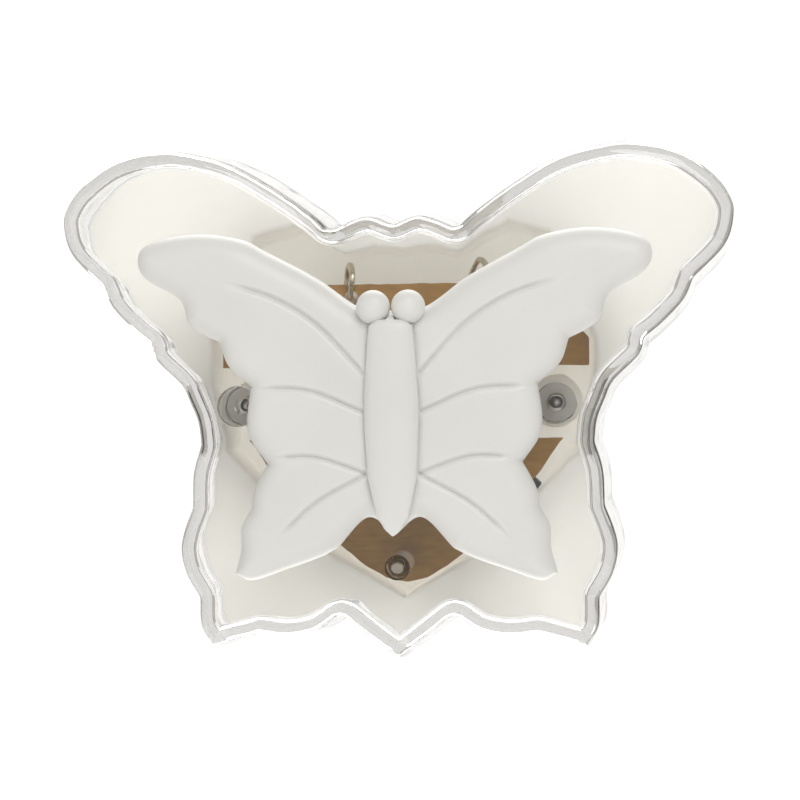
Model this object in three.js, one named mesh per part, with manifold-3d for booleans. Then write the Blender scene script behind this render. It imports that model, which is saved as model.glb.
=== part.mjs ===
// Plug-in butterfly night light. Units are millimetres, +Z is up, +X is the viewer's right
// and -Y faces the room. The origin is on the plug's seat face, midway between the two pins.
import * as THREE from 'three';
import { mergeVertices } from 'three/addons/utils/BufferGeometryUtils.js';
import Module from 'manifold-3d';

const wasm = await Module();
wasm.setup();

// ---- driving dimensions: the butterfly cover ----
// wingspan and butterflyHeight are across the front of the sides; the rim is rimFlare larger all round
const wingspan = 98;
const butterflyHeight = 74.4;
const shellDepth = 16;
const shellWall = 2;
const shellFace = 2;
const shellChamfer = 1;
const rimFlare = 1.5;
const shellDraft = 1.4;
const flangeGap = 0.3;
// ---- back housing ----
const flangeThickness = 2;
const boxDepth = 10;
const boxWall = 2;
const boxFloor = 2;
const rimWidth = 1;
// ---- butterfly diffuser ----
const diffuserHeight = 5;
const diffuserWall = 1.5;
const diffuserSlope = 1.6;
const bodyRise = 1.8;
const antennaRadius = 2.3;
const locatorRadius = 1.2;
const locatorGap = 0.15;
// ---- plug: European two-pin ----
const pinPitch = 19;
const pinRadius = 2;
const pinLength = 19;
const sleeveLength = 10;
const sleeveSeat = 2;
const shankRadius = 1.6;
const pinHeadRadius = 2.6;
const pinHeadThickness = 1;
const blockWidth = 32;
const blockHeight = 11;
const blockProud = 6;
const blockFlange = 1.5;
const slipGap = 0.05;
const wireRadius = 0.4;
// ---- circuit board and what it carries ----
const boardThickness = 1.6;
const boardTopHeight = 17.7;
const plugBelowBoardTop = 7.7;
const boardGap = 0.6;
const boardLift = 4;
const ledRadius = 2.5;
const ledHeight = 8.6;
const ledFlange = 0.4;
const leadRadius = 0.3;
// ---- screws and posts ----
const screwRadius = 1.5;
const screwHeadRadius = 2.6;
const screwHeadHeight = 1.8;
const screwGap = 0.3;
const postRadius = 3;
const bottomPostRadius = 1.85;
const bottomPostBore = 0.9;
const smallScrewRadius = 1;
// ---- slide switch in the lower right wall ----
const switchTravel = 2.5;
const switchLength = 8.6;
const switchThickness = 3.2;
const switchHeight = 4;
const knobLength = 3;
const knobWidth = 1.8;
const knobProud = 1.6;
const knobGap = 0.3;

// ---- depths, measured along Y from the wall side (0) towards the room (negative) ----
const yBoxBack = -blockProud;
const yFloor = yBoxBack - boxFloor;
const yRim = yBoxBack - boxDepth;
const yFlangeFront = yRim - flangeThickness;
const yShellFront = yRim - shellDepth;
const yFaceInside = yShellFront + shellFace;
const yBoardBack = yFloor - boardLift;
const yBoardFront = yBoardBack - boardThickness;

const sampleStep = 2;
const roundSides = 20;

// ---- outlines, as half contours (x, height above the butterfly's middle) ----
// Each run is a smooth stretch; runs meet at the sharp notches and points of the wing.
const wingScale = new THREE.Vector2(wingspan / 98, butterflyHeight / 74.4);

const shellRuns = [
  [[0, 25.5], [4, 26.8], [9.3, 24.9]],
  [[9.3, 24.9], [12.1, 27.4], [17.2, 31], [23.4, 34.6], [29.9, 36.5], [35, 36.8],
    [41.3, 35.3], [46.1, 32], [48.5, 28.8], [49, 26], [47.7, 21.9], [43.2, 17.3]],
  [[43.2, 17.3], [41.8, 14.2], [38.7, 10.9], [36, 8.7]],
  [[36, 8.7], [35.3, 6.3], [31.6, 2.6], [30.4, 0.1]],
  [[30.4, 0.1], [29.2, -3], [28.8, -6.3]],
  [[28.8, -6.3], [30, -10.5], [30.2, -15.6]],
  [[30.2, -15.6], [31.5, -19], [32, -22], [31.2, -25.5], [29.3, -28.8]],
  [[29.3, -28.8], [29.1, -33.1], [27.4, -35.9]],
  [[27.4, -35.9], [23.8, -34.9], [20.4, -34]],
  [[20.4, -34], [16.2, -34.4], [12, -33.6], [8.3, -31.2]],
  [[8.3, -31.2], [4, -34.6], [0, -37.6]],
];

const diffuserRuns = [
  [[0, 13], [4.9, 13.6], [11, 17.8], [18.2, 21.7], [22, 23.6], [28.4, 24.5], [34.9, 23.5], [37.2, 21.4],
    [36.2, 18.2], [31.1, 15], [29.9, 11.6], [27.9, 10], [25.3, 8.7]],
  [[25.3, 8.7], [24, 5.2], [20.8, 2.2]],
  [[20.8, 2.2], [21.4, -2.6], [20.9, -5.5], [18.5, -9]],
  [[18.5, -9], [20.4, -12.7], [20.9, -15.6]],
  [[20.9, -15.6], [22.4, -18.2], [22.5, -21.5], [23.4, -25]],
  [[23.4, -25], [21, -26], [16.2, -24.5], [11.1, -22.7], [8.5, -21.4]],
  [[8.5, -21.4], [3.9, -16.9], [0, -19.5]],
];

// The deep box behind the middle, before the cover's waist narrows it.
const boxTopNotch = 24.2;
const switchWall = { start: [31.3, -6.4], end: [12.4, -25.4] };
const boxRuns = [
  [[0, 24.6], [4, 25.4], [8.4, boxTopNotch]],
  [[8.4, boxTopNotch], [12, 26.8], [16.3, 28.8]],
  [[16.3, 28.8], [24, 26.6]],
  [[24, 26.6], [31.3, 9.3]],
  [[31.3, 9.3], switchWall.start],
  [switchWall.start, switchWall.end],
  [switchWall.end, [0, -32.6]],
];

// The circuit board, up to a straight top edge that is cut later.
const boardRuns = [
  [[0, 20], [20, 20]],
  [[20, 20], [28.4, 9]],
  [[28.4, 9], [28.4, 0]],
  [[28.4, 0], [26.8, -3.5], [23.9, -6.9], [20.6, -11.5], [14.6, -18.4], [8.7, -24], [4, -27.4], [0, -28.4]],
];

function scaled(runs) {
  return runs.map((run) => run.map(([x, z]) => new THREE.Vector2(x, z).multiply(wingScale)));
}

function smoothRun(points) {
  if (points.length === 2) return points;
  const curve = new THREE.SplineCurve(points);
  const steps = Math.max(2, Math.round(curve.getLength() / sampleStep));
  return curve.getSpacedPoints(steps);
}

// A closed outline, counterclockwise seen from the room, mirrored about x = 0.
function mirroredOutline(runs) {
  const half = scaled(runs).flatMap((run) => smoothRun(run).slice(0, -1));
  const last = runs.at(-1).at(-1);
  const right = [...half, new THREE.Vector2(...last).multiply(wingScale)];
  const left = right.slice(1, -1).map((p) => new THREE.Vector2(-p.x, p.y));
  return [...left, ...right.reverse()];
}

function normalAt(outline, index) {
  const before = outline.at(index - 1);
  const after = outline[(index + 1) % outline.length];
  const here = outline[index];
  const incoming = here.clone().sub(before).normalize();
  const outgoing = after.clone().sub(here).normalize();
  const middle = incoming.clone().add(outgoing).normalize();
  return { normal: new THREE.Vector2(-middle.y, middle.x), stretch: 1 / Math.max(0.5, middle.dot(outgoing)) };
}

// Every point moved inwards, one for one, for small chamfers and slopes.
function drawnIn(outline, distance) {
  return outline.map((point, index) => {
    const { normal, stretch } = normalAt(outline, index);
    return point.clone().addScaledVector(normal, distance * stretch);
  });
}

function distanceToOutline(point, outline) {
  let nearest = Infinity;
  outline.forEach((start, index) => {
    const edge = outline[(index + 1) % outline.length].clone().sub(start);
    const along = THREE.MathUtils.clamp(point.clone().sub(start).dot(edge) / edge.lengthSq(), 0, 1);
    nearest = Math.min(nearest, start.clone().addScaledVector(edge, along).distanceTo(point));
  });
  return nearest;
}

function turnedBy(angle, distance) {
  return new THREE.Vector2(Math.cos(angle), Math.sin(angle)).multiplyScalar(distance);
}

// The outline moved inwards by a wall: round about inner notches, mitred at outer points.
function inset(outline, distance) {
  const tolerance = 0.06;
  const arcStep = Math.PI / 5;
  const moved = [];
  outline.forEach((corner, index) => {
    const before = corner.clone().sub(outline.at(index - 1));
    const after = outline[(index + 1) % outline.length].clone().sub(corner);
    const inwards = Math.atan2(before.y, before.x) + Math.PI / 2;
    const bend = Math.atan2(before.cross(after), before.dot(after));
    if (bend >= 0) {
      moved.push(corner.clone().add(turnedBy(inwards + bend / 2, distance / Math.cos(bend / 2))));
    } else {
      const arcs = Math.ceil(-bend / arcStep);
      for (let k = 0; k <= arcs; k += 1) {
        moved.push(corner.clone().add(turnedBy(inwards + (bend * k) / arcs, distance)));
      }
    }
  });
  return moved.filter((point) => distanceToOutline(point, outline) > distance - tolerance);
}

// The outline without repeated points and without points on a straight stretch.
function tidied(outline) {
  const apart = outline.filter((point, index) => point.distanceTo(outline.at(index - 1)) > 0.02);
  return apart.filter((point, index) => {
    const before = point.clone().sub(apart.at(index - 1)).normalize();
    const after = apart[(index + 1) % apart.length].clone().sub(point).normalize();
    return Math.abs(before.cross(after)) > 0.004;
  });
}

// Half width of an outline at one height.
function halfWidthAt(outline, height) {
  let widest = 0;
  outline.forEach((start, index) => {
    const end = outline[(index + 1) % outline.length];
    if ((start.y - height) * (end.y - height) > 0 || start.y === end.y) return;
    const t = (height - start.y) / (end.y - start.y);
    widest = Math.max(widest, start.x + t * (end.x - start.x));
  });
  return widest;
}

// ---- solids ----
function toSolid(geometry) {
  const bare = geometry.clone();
  bare.deleteAttribute('normal');
  bare.deleteAttribute('uv');
  const merged = mergeVertices(bare, 1e-4);
  return new wasm.Manifold(new wasm.Mesh({
    numProp: 3,
    vertProperties: Float32Array.from(merged.attributes.position.array),
    triVerts: Uint32Array.from(merged.index.array),
  }));
}

function toGeometry(solid) {
  const { vertProperties, triVerts } = solid.getMesh();
  const geometry = new THREE.BufferGeometry();
  geometry.setAttribute('position', new THREE.BufferAttribute(Float32Array.from(vertProperties), 3));
  geometry.setIndex(new THREE.BufferAttribute(Uint32Array.from(triVerts), 1));
  return geometry;
}

// A solid through rings of equal point count, listed from the wall side to the room side.
function loft(rings) {
  const count = rings[0].outline.length;
  const positions = rings.flatMap(({ outline, y }) => outline.flatMap((p) => [p.x, y, p.y]));
  const triangles = [];
  for (let ring = 0; ring + 1 < rings.length; ring += 1) {
    for (let i = 0; i < count; i += 1) {
      const a = ring * count + i;
      const b = ring * count + ((i + 1) % count);
      triangles.push(a, b, a + count, b, b + count, a + count);
    }
  }
  const capOffset = (rings.length - 1) * count;
  for (const [ring, offset, facing] of [[rings[0], 0, -1], [rings.at(-1), capOffset, 1]]) {
    for (const [i, j, k] of THREE.ShapeUtils.triangulateShape(ring.outline, [])) {
      const [p, q, r] = [ring.outline[i], ring.outline[j], ring.outline[k]];
      const area = q.clone().sub(p).cross(r.clone().sub(p)) * facing;
      triangles.push(offset + i, offset + (area > 0 ? j : k), offset + (area > 0 ? k : j));
    }
  }
  const geometry = new THREE.BufferGeometry();
  geometry.setAttribute('position', new THREE.Float32BufferAttribute(positions, 3));
  geometry.setIndex(triangles);
  return toSolid(geometry);
}

function slab(shape, yBack, yFront) {
  const outline = tidied(shape);
  return loft([{ outline, y: yBack }, { outline, y: yFront }]);
}

function rod(radius, yBack, yFront, x, z, sides = roundSides) {
  const geometry = new THREE.CylinderGeometry(radius, radius, yBack - yFront, sides);
  return toSolid(geometry.translate(x, (yBack + yFront) / 2, z));
}

function box(width, depth, height) {
  return toSolid(new THREE.BoxGeometry(width, depth, height));
}

function wire(points, radius, steps) {
  const section = new THREE.Shape().absarc(0, 0, radius, 0, Math.PI * 2);
  const path = new THREE.CatmullRomCurve3(points.map((p) => new THREE.Vector3(...p)));
  const options = { steps, bevelEnabled: false, extrudePath: path, curveSegments: 4 };
  return toSolid(new THREE.ExtrudeGeometry(section, options));
}

function stadium(width, height, centreZ) {
  const radius = height / 2;
  const reach = width / 2 - radius;
  const shape = new THREE.Shape();
  shape.absarc(reach, centreZ, radius, -Math.PI / 2, Math.PI / 2);
  shape.absarc(-reach, centreZ, radius, Math.PI / 2, Math.PI * 1.5);
  return shape.extractPoints(12).shape.slice(0, -1);
}

function joined(solids) {
  return solids.reduce((whole, solid) => whole.add(solid));
}

function cut(solid, holes) {
  return holes.reduce((rest, hole) => rest.subtract(hole), solid);
}

// ---- outlines in use ----
const shellOutline = drawnIn(mirroredOutline(shellRuns), -rimFlare);
const shellInside = inset(shellOutline, shellWall);
const flangeOutline = inset(shellOutline, shellWall + flangeGap);
const diffuserOutline = mirroredOutline(diffuserRuns);
const boxLimit = inset(shellOutline, shellWall + flangeGap + rimWidth);
const boxOuterLimit = inset(shellOutline, shellWall + flangeGap + rimWidth - boxWall);
const boxOutline = mirroredOutline(boxRuns);
const boxInside = inset(boxOutline, boxWall);
const boardLimit = inset(boxOutline, boxWall + boardGap);
const boardWaistLimit = inset(shellOutline, shellWall + flangeGap + rimWidth + boardGap);

// ---- places that several pieces share ----
const boardTop = boardTopHeight * wingScale.y;
const hookHeadroom = boxTopNotch * wingScale.y - boxWall - boardTop;
const plugRow = boardTop - plugBelowBoardTop;
const waistHeight = -0.7 * wingScale.y;
const sidePostX = halfWidthAt(boxLimit, waistHeight) - rimFlare - postRadius - flangeGap;
const bottomPostZ = -24.5 * wingScale.y;
const counterbore = 3;
const yScrewSeat = yBoxBack - counterbore;
const boardScrewX = 15.5;
const boardScrewZ = -9 * wingScale.y;
const sides = [['left', -1], ['right', 1]];

// ---- materials ----
const clearPlastic = new THREE.MeshStandardMaterial({
  color: 0xf4f6f6, roughness: 0.05, metalness: 0, transparent: true, opacity: 0.35,
});
const opalPlastic = new THREE.MeshStandardMaterial({ color: 0xe8e7e3, roughness: 0.45, metalness: 0 });
const whitePlastic = new THREE.MeshStandardMaterial({ color: 0xf3f3f0, roughness: 0.35, metalness: 0 });
const boardPaper = new THREE.MeshStandardMaterial({ color: 0xa07d50, roughness: 0.6, metalness: 0 });
const brass = new THREE.MeshStandardMaterial({ color: 0xc9b486, roughness: 0.3, metalness: 1 });
const steel = new THREE.MeshStandardMaterial({ color: 0xb8b8b8, roughness: 0.3, metalness: 1 });
const darkPlastic = new THREE.MeshStandardMaterial({ color: 0x2c2c2e, roughness: 0.5, metalness: 0 });
const filmRed = new THREE.MeshStandardMaterial({ color: 0x8c3226, roughness: 0.4, metalness: 0 });
const resistorBeige = new THREE.MeshStandardMaterial({ color: 0xcdb68a, roughness: 0.5, metalness: 0 });
const ledWhite = new THREE.MeshStandardMaterial({ color: 0xf2f0e0, roughness: 0.15, metalness: 0 });

const butterfly = new THREE.Group();
butterfly.position.z = -plugRow;

function addPiece(name, solid, material, place = [0, 0, 0]) {
  const mesh = new THREE.Mesh(toGeometry(solid), material);
  mesh.name = name;
  mesh.position.set(...place);
  butterfly.add(mesh);
}

// ---- clear cover ----
function makeClearShell() {
  const yChamfer = yShellFront + shellChamfer;
  const yDraftStart = yFlangeFront - flangeGap;
  const outside = loft([
    { outline: shellOutline, y: yRim },
    { outline: shellOutline, y: yDraftStart },
    { outline: drawnIn(shellOutline, shellDraft), y: yChamfer },
    { outline: drawnIn(shellOutline, shellDraft + shellChamfer), y: yShellFront },
  ]);
  const insideOutline = tidied(shellInside);
  const hollow = loft([
    { outline: insideOutline, y: yRim + 1 },
    { outline: insideOutline, y: yDraftStart },
    { outline: drawnIn(insideOutline, shellDraft), y: yFaceInside },
  ]);
  const cover = outside.subtract(hollow);
  const overlap = 0.5;
  const yPostRoot = yFaceInside - overlap;
  const posts = sides.map(([, side]) => rod(postRadius, yRim, yPostRoot, side * sidePostX, waistHeight));
  posts.push(rod(bottomPostRadius, yBoardFront - slipGap, yPostRoot, 0, bottomPostZ));
  const screwLength = 8;
  const bores = sides.map(([, side]) => rod(screwRadius, yRim + 1, yRim - screwLength,
    side * sidePostX, waistHeight));
  bores.push(rod(bottomPostBore, yBoardFront + 1, yFaceInside, 0, bottomPostZ));
  bores.push(...locatorPlaces().map(([x, z]) => rod(locatorRadius + locatorGap, yFaceInside + 1,
    yShellFront - 1, x, z)));
  return cut(joined([cover, ...posts]), bores);
}

// ---- white butterfly on the front ----
function locatorPlaces() {
  const upper = [18 * wingScale.x, 15 * wingScale.y];
  const lower = [15 * wingScale.x, -17 * wingScale.y];
  return [upper, lower].flatMap(([x, z]) => [[x, z], [-x, z]]);
}

function makeDiffuser() {
  const yFront = yShellFront - diffuserHeight;
  const yShoulder = yShellFront - diffuserHeight * 0.6;
  const skin = loft([
    { outline: diffuserOutline, y: yShellFront },
    { outline: drawnIn(diffuserOutline, diffuserSlope * 0.25), y: yShoulder },
    { outline: drawnIn(diffuserOutline, diffuserSlope), y: yFront },
  ]);
  const hollowOutline = inset(diffuserOutline, diffuserWall + diffuserSlope);
  const hollow = slab(hollowOutline, yShellFront + 1, yFront + diffuserWall);
  const bodyLength = 30.3 * wingScale.y;
  const body = new THREE.SphereGeometry(1, roundSides, 12);
  body.scale(3.9, bodyRise, bodyLength / 2).translate(0, yFront, -4.35 * wingScale.y);
  const antenna = (side) => new THREE.SphereGeometry(antennaRadius, 16, 10)
    .translate(side * antennaRadius * 1.06, yFront, 13.3 * wingScale.y);
  const front = box(wingspan, 4 * diffuserHeight, butterflyHeight)
    .translate(0, yShellFront - 2 * diffuserHeight, 0);
  const raised = [body, antenna(-1), antenna(1)].map((geometry) => toSolid(geometry));
  const relief = joined(raised).intersect(front);
  const pinEnd = yFaceInside - slipGap;
  const pinRoot = yFront + diffuserWall / 2;
  const locators = locatorPlaces().map(([x, z]) => rod(locatorRadius, pinEnd, pinRoot, x, z));
  return joined([skin.subtract(hollow), relief, ...locators]);
}

// ---- white back housing ----
function boxShape(shape, limit, yBack, yFront) {
  return slab(shape, yBack, yFront).intersect(slab(limit, yBack, yFront));
}

function makeBackHousing() {
  const flange = slab(flangeOutline, yRim, yFlangeFront);
  const deepBox = boxShape(boxOutline, boxOuterLimit, yBoxBack, yRim);
  const throat = boxShape(boxOutline, flangeOutline, yRim, yFlangeFront);
  const well = boxShape(boxInside, boxLimit, yFloor, yFlangeFront - 1);
  const postBase = screwHeadRadius + screwGap + 1.2;
  const bosses = sides.flatMap(([, side]) => [
    rod(postRadius, yFloor + 0.5, yRim, side * sidePostX, waistHeight),
    rod(postBase, yFloor + 0.5, yScrewSeat - 1.5, side * sidePostX, waistHeight),
  ]);
  const standoffs = boardScrewPlaces().map(([x, z]) => rod(2.2, yFloor + 0.5, yBoardBack, x, z));
  const shelf = boxShape(boxOutline, boxOuterLimit, yBoxBack, yRim);
  const ribs = joined([...bosses, ...standoffs]).intersect(shelf);
  const holes = sides.flatMap(([, side]) => [
    rod(screwHeadRadius + screwGap, yBoxBack + 1, yScrewSeat, side * sidePostX, waistHeight),
    rod(screwRadius + screwGap, yBoxBack + 1, yRim - 1, side * sidePostX, waistHeight),
  ]);
  const pilotEnd = yFloor - 0.5;
  holes.push(...boardScrewPlaces().map(([x, z]) => rod(smallScrewRadius, pilotEnd, yBoardBack - 1, x, z)));
  const plugHole = stadium(blockWidth + 2 * slipGap, blockHeight + 2 * slipGap, plugRow);
  holes.push(slab(plugHole, yBoxBack + 1, yFloor - 1));
  holes.push(turnedToWall(box(slotLength, slotWidth, 4 * boxWall).translate(0, switchY, 0)));
  return cut(joined([flange, deepBox, throat]).subtract(well).add(ribs), holes);
}

// ---- slide switch: its own X runs along the lower right wall, its Z into the box ----
const wallStart = new THREE.Vector2(...switchWall.start).multiply(wingScale);
const wallEnd = new THREE.Vector2(...switchWall.end).multiply(wingScale);
const wallAngle = Math.atan2(wallStart.y - wallEnd.y, wallStart.x - wallEnd.x);
const wallMiddle = wallStart.clone().lerp(wallEnd, 0.62);
const switchY = yFloor - 0.3 - switchThickness / 2;
const slotLength = knobLength + switchTravel + 2 * knobGap;
const slotWidth = knobWidth + 2 * knobGap;

function turnedToWall(solid) {
  return solid.rotate([0, (-wallAngle * 180) / Math.PI, 0]).translate(wallMiddle.x, 0, wallMiddle.y);
}

function makeSwitchBody() {
  const seat = boxWall + 0.3;
  const body = box(switchLength, switchThickness, switchHeight)
    .translate(0, switchY, seat + switchHeight / 2);
  const slot = box(slotLength, slotWidth, 2 * knobProud).translate(0, switchY, seat);
  return turnedToWall(body.subtract(slot));
}

function makeSwitchSlider() {
  const foot = boxWall + 0.3 + knobProud - knobGap;
  const length = foot + knobProud;
  const knob = box(knobLength, knobWidth, length).translate(-switchTravel / 2, switchY, foot - length / 2);
  return turnedToWall(knob);
}

// ---- plug ----
function makePlugBlock() {
  const block = slab(stadium(blockWidth, blockHeight, plugRow), 0, yFloor);
  const flange = slab(stadium(blockWidth + 2, blockHeight - 1, plugRow), yFloor, yFloor - blockFlange);
  const bores = sides.flatMap(([, side]) => [
    rod(shankRadius + slipGap, 1, yFloor - blockFlange - 1, side * (pinPitch / 2), plugRow),
    rod(pinRadius + slipGap, 1, -sleeveSeat, side * (pinPitch / 2), plugRow),
  ]);
  return cut(block.add(flange.intersect(boxShape(boxInside, boxLimit, 0, yFloor - blockFlange))), bores);
}

// A profile turned about the Y axis, whichever way round the profile is listed.
function turned(profile) {
  const points = profile.map(([radius, y]) => new THREE.Vector2(radius, y));
  if (THREE.ShapeUtils.area(points) < 0) points.reverse();
  return toSolid(new THREE.LatheGeometry(points, roundSides));
}

function makePin() {
  const head = yFloor - blockFlange - slipGap;
  const round = pinRadius * 0.5;
  return turned([[0, head - pinHeadThickness], [pinHeadRadius, head - pinHeadThickness],
    [pinHeadRadius, head], [shankRadius, head],
    [shankRadius, sleeveLength + slipGap], [pinRadius, sleeveLength + slipGap],
    [pinRadius, pinLength - round], [pinRadius - round * 0.3, pinLength - round * 0.3],
    [pinRadius - round, pinLength], [0, pinLength]]);
}

function makeSleeve() {
  const inner = shankRadius + slipGap;
  const seat = slipGap - sleeveSeat;
  return turned([[inner, seat], [pinRadius, seat], [pinRadius, sleeveLength], [inner, sleeveLength],
    [inner, seat]]);
}

// Each wire rises behind the board, hooks over its top edge and comes down to the front.
const wireHooks = {
  left: { lean: 1.4, rise: hookHeadroom * (2 / 3) },
  right: { lean: 2.8, rise: hookHeadroom * 0.8 },
};

function makePinWire(side, { lean, rise }) {
  const start = yFloor - blockFlange - pinHeadThickness - 4 * slipGap;
  const yBehind = start - wireRadius * 1.5;
  const x = side * (pinPitch / 2);
  const top = boardTop + rise;
  const yMiddle = (yBoardBack + yBoardFront) / 2;
  return wire([[x, start, plugRow], [x, start - wireRadius, plugRow], [x, yBehind, plugRow + 1.4],
    [x, yBehind, boardTop - 1.5],
    [x + lean * 0.2, yBehind - 0.1, boardTop + rise * 0.5], [x + lean * 0.6, yMiddle - 0.2, top],
    [x + lean, yBoardFront - 1.8, boardTop + rise * 0.4], [x + lean, yBoardFront - 1.5, boardTop - 1.4],
    [x + lean, yBoardFront - 0.7, boardTop - 2], [x + lean, yBoardFront - 3 * slipGap, boardTop - 2]],
  wireRadius, 28);
}

// ---- circuit board ----
function boardScrewPlaces() {
  return [[-boardScrewX, boardScrewZ], [boardScrewX, boardScrewZ]];
}

function makeCircuitBoard() {
  const plate = slab(mirroredOutline(boardRuns), yBoardBack, yBoardFront);
  const belowTop = box(wingspan, 4 * boardThickness, butterflyHeight)
    .translate(0, yBoardFront, boardTop - butterflyHeight / 2);
  const room = boxShape(boardLimit, boardWaistLimit, yBoardBack, yBoardFront);
  const trimmed = plate.intersect(room).intersect(belowTop);
  const notch = postRadius + boardGap + 2;
  const notchDepth = 12;
  const holes = sides.map(([, side]) => box(notchDepth, 3 * boardThickness, 2 * notch)
    .translate(side * (sidePostX - notch + notchDepth / 2), yBoardBack - boardThickness / 2, waistHeight));
  const screwHole = smallScrewRadius + 0.2;
  holes.push(...boardScrewPlaces().map(([x, z]) => rod(screwHole, yBoardBack + 1, yBoardFront - 1, x, z)));
  return cut(trimmed, holes);
}

function makeLed() {
  return turned([[0, 0], [ledRadius + ledFlange, 0], [ledRadius + ledFlange, -1], [ledRadius, -1],
    [ledRadius, ledRadius - ledHeight], [ledRadius * 0.87, ledRadius * 0.5 - ledHeight],
    [ledRadius * 0.5, ledRadius * 0.13 - ledHeight], [0, -ledHeight]]);
}

// A body on two bent leads, lying along X just in front of the board.
function makeAxialPart(length, radius) {
  const lift = radius + 0.4;
  const reach = length / 2 + 2;
  const body = toSolid(new THREE.CylinderGeometry(radius, radius, length, 16).rotateZ(Math.PI / 2));
  const bend = 0.7;
  const lead = wire([[-reach, lift, 0], [-reach, bend, 0], [-reach + bend, 0, 0], [0, 0, 0],
    [reach - bend, 0, 0], [reach, bend, 0], [reach, lift, 0]], leadRadius, 14);
  return { solid: body.add(lead), lift };
}

function makeSmoothingCapacitor() {
  return turned([[0, 0], [3.15, 0], [3.15, -7.4], [2.8, -8], [0, -8]]);
}

// ---- screws ----
function makeScrew(radius, headRadius, headHeight, length) {
  const screw = turned([[0, headHeight], [headRadius * 0.7, headHeight], [headRadius, headHeight * 0.5],
    [headRadius, 0], [radius, 0], [radius, 1.2 - length], [radius * 0.35, -length], [0, -length]]);
  const slotWidth = headRadius * 0.24;
  const slots = [[headRadius, slotWidth], [slotWidth, headRadius]].map(([width, height]) =>
    box(width, headHeight, height).translate(0, headHeight, 0));
  return cut(screw, slots);
}

// ---- assembly ----
addPiece('clear_shell', makeClearShell(), clearPlastic);
addPiece('butterfly_diffuser', makeDiffuser(), opalPlastic);
addPiece('back_housing', makeBackHousing(), whitePlastic);
addPiece('plug_block', makePlugBlock(), whitePlastic);
addPiece('circuit_board', makeCircuitBoard(), boardPaper);
addPiece('switch_body', makeSwitchBody(), darkPlastic);
addPiece('switch_slider', makeSwitchSlider(), darkPlastic);

for (const [name, side] of sides) {
  const pinPlace = [side * (pinPitch / 2), 0, plugRow];
  addPiece(`plug_pin_${name}`, makePin(), brass, pinPlace);
  addPiece(`pin_sleeve_${name}`, makeSleeve(), darkPlastic, pinPlace);
  addPiece(`pin_wire_${name}`, makePinWire(side, wireHooks[name]), brass);
  const shellScrewLength = yScrewSeat - yRim + 6;
  const shellScrew = makeScrew(screwRadius - slipGap, screwHeadRadius, screwHeadHeight, shellScrewLength);
  addPiece(`shell_screw_${name}`, shellScrew, steel, [side * sidePostX, yScrewSeat, waistHeight]);
}

boardScrewPlaces().forEach(([x, z], index) => {
  const screw = makeScrew(smallScrewRadius - slipGap, 1.9, 1.3, boardThickness + 2.8).rotate([180, 0, 0]);
  addPiece(`board_screw_${sides[index][0]}`, screw, steel, [x, yBoardFront, z]);
});

// The capacitors stand at the waist, and the lamps sit above and below them.
const filmSize = { width: 5.5, depth: 11, height: 12 };
const filmPlace = { x: -10.4, z: -1.5 * wingScale.y };
const partGap = 1.6;
const ledReach = filmSize.height / 2 + ledRadius + ledFlange + partGap;
const ledPlaces = [[-13, ledReach], [13, ledReach], [-9, -ledReach], [9, -ledReach]];
ledPlaces.forEach(([x, reach], index) => {
  addPiece(`led_${index + 1}`, makeLed(), ledWhite, [x * wingScale.x, yBoardFront, filmPlace.z + reach]);
});

const resistorPlaces = { series_resistor: [0, 11.5], bleed_resistor: [0, 6.5] };
for (const [name, [x, z]] of Object.entries(resistorPlaces)) {
  const { solid, lift } = makeAxialPart(6.5, 1.2);
  addPiece(name, solid, resistorBeige, [x, yBoardFront - lift - 0.05, z * wingScale.y]);
}

const diodePitch = 3.4;
for (let index = 0; index < 4; index += 1) {
  const { solid, lift } = makeAxialPart(4.2, 1);
  const z = -16.5 * wingScale.y + 10.2 - index * diodePitch;
  addPiece(`diode_${index + 1}`, solid, darkPlastic, [0, yBoardFront - lift - 0.05, z]);
}

const filmCapacitor = box(filmSize.width, filmSize.depth, filmSize.height);
addPiece('film_capacitor', filmCapacitor, filmRed, [filmPlace.x, yBoardFront - filmSize.depth / 2, filmPlace.z]);
addPiece('smoothing_capacitor', makeSmoothingCapacitor(), darkPlastic, [9.6, yBoardFront, 0]);

const nightLight = new THREE.Group();
nightLight.add(butterfly);

export default nightLight;
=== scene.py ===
import math

import bmesh
import bpy
import numpy as np
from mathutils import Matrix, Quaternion, Vector
from mathutils.geometry import delaunay_2d_cdt


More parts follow.
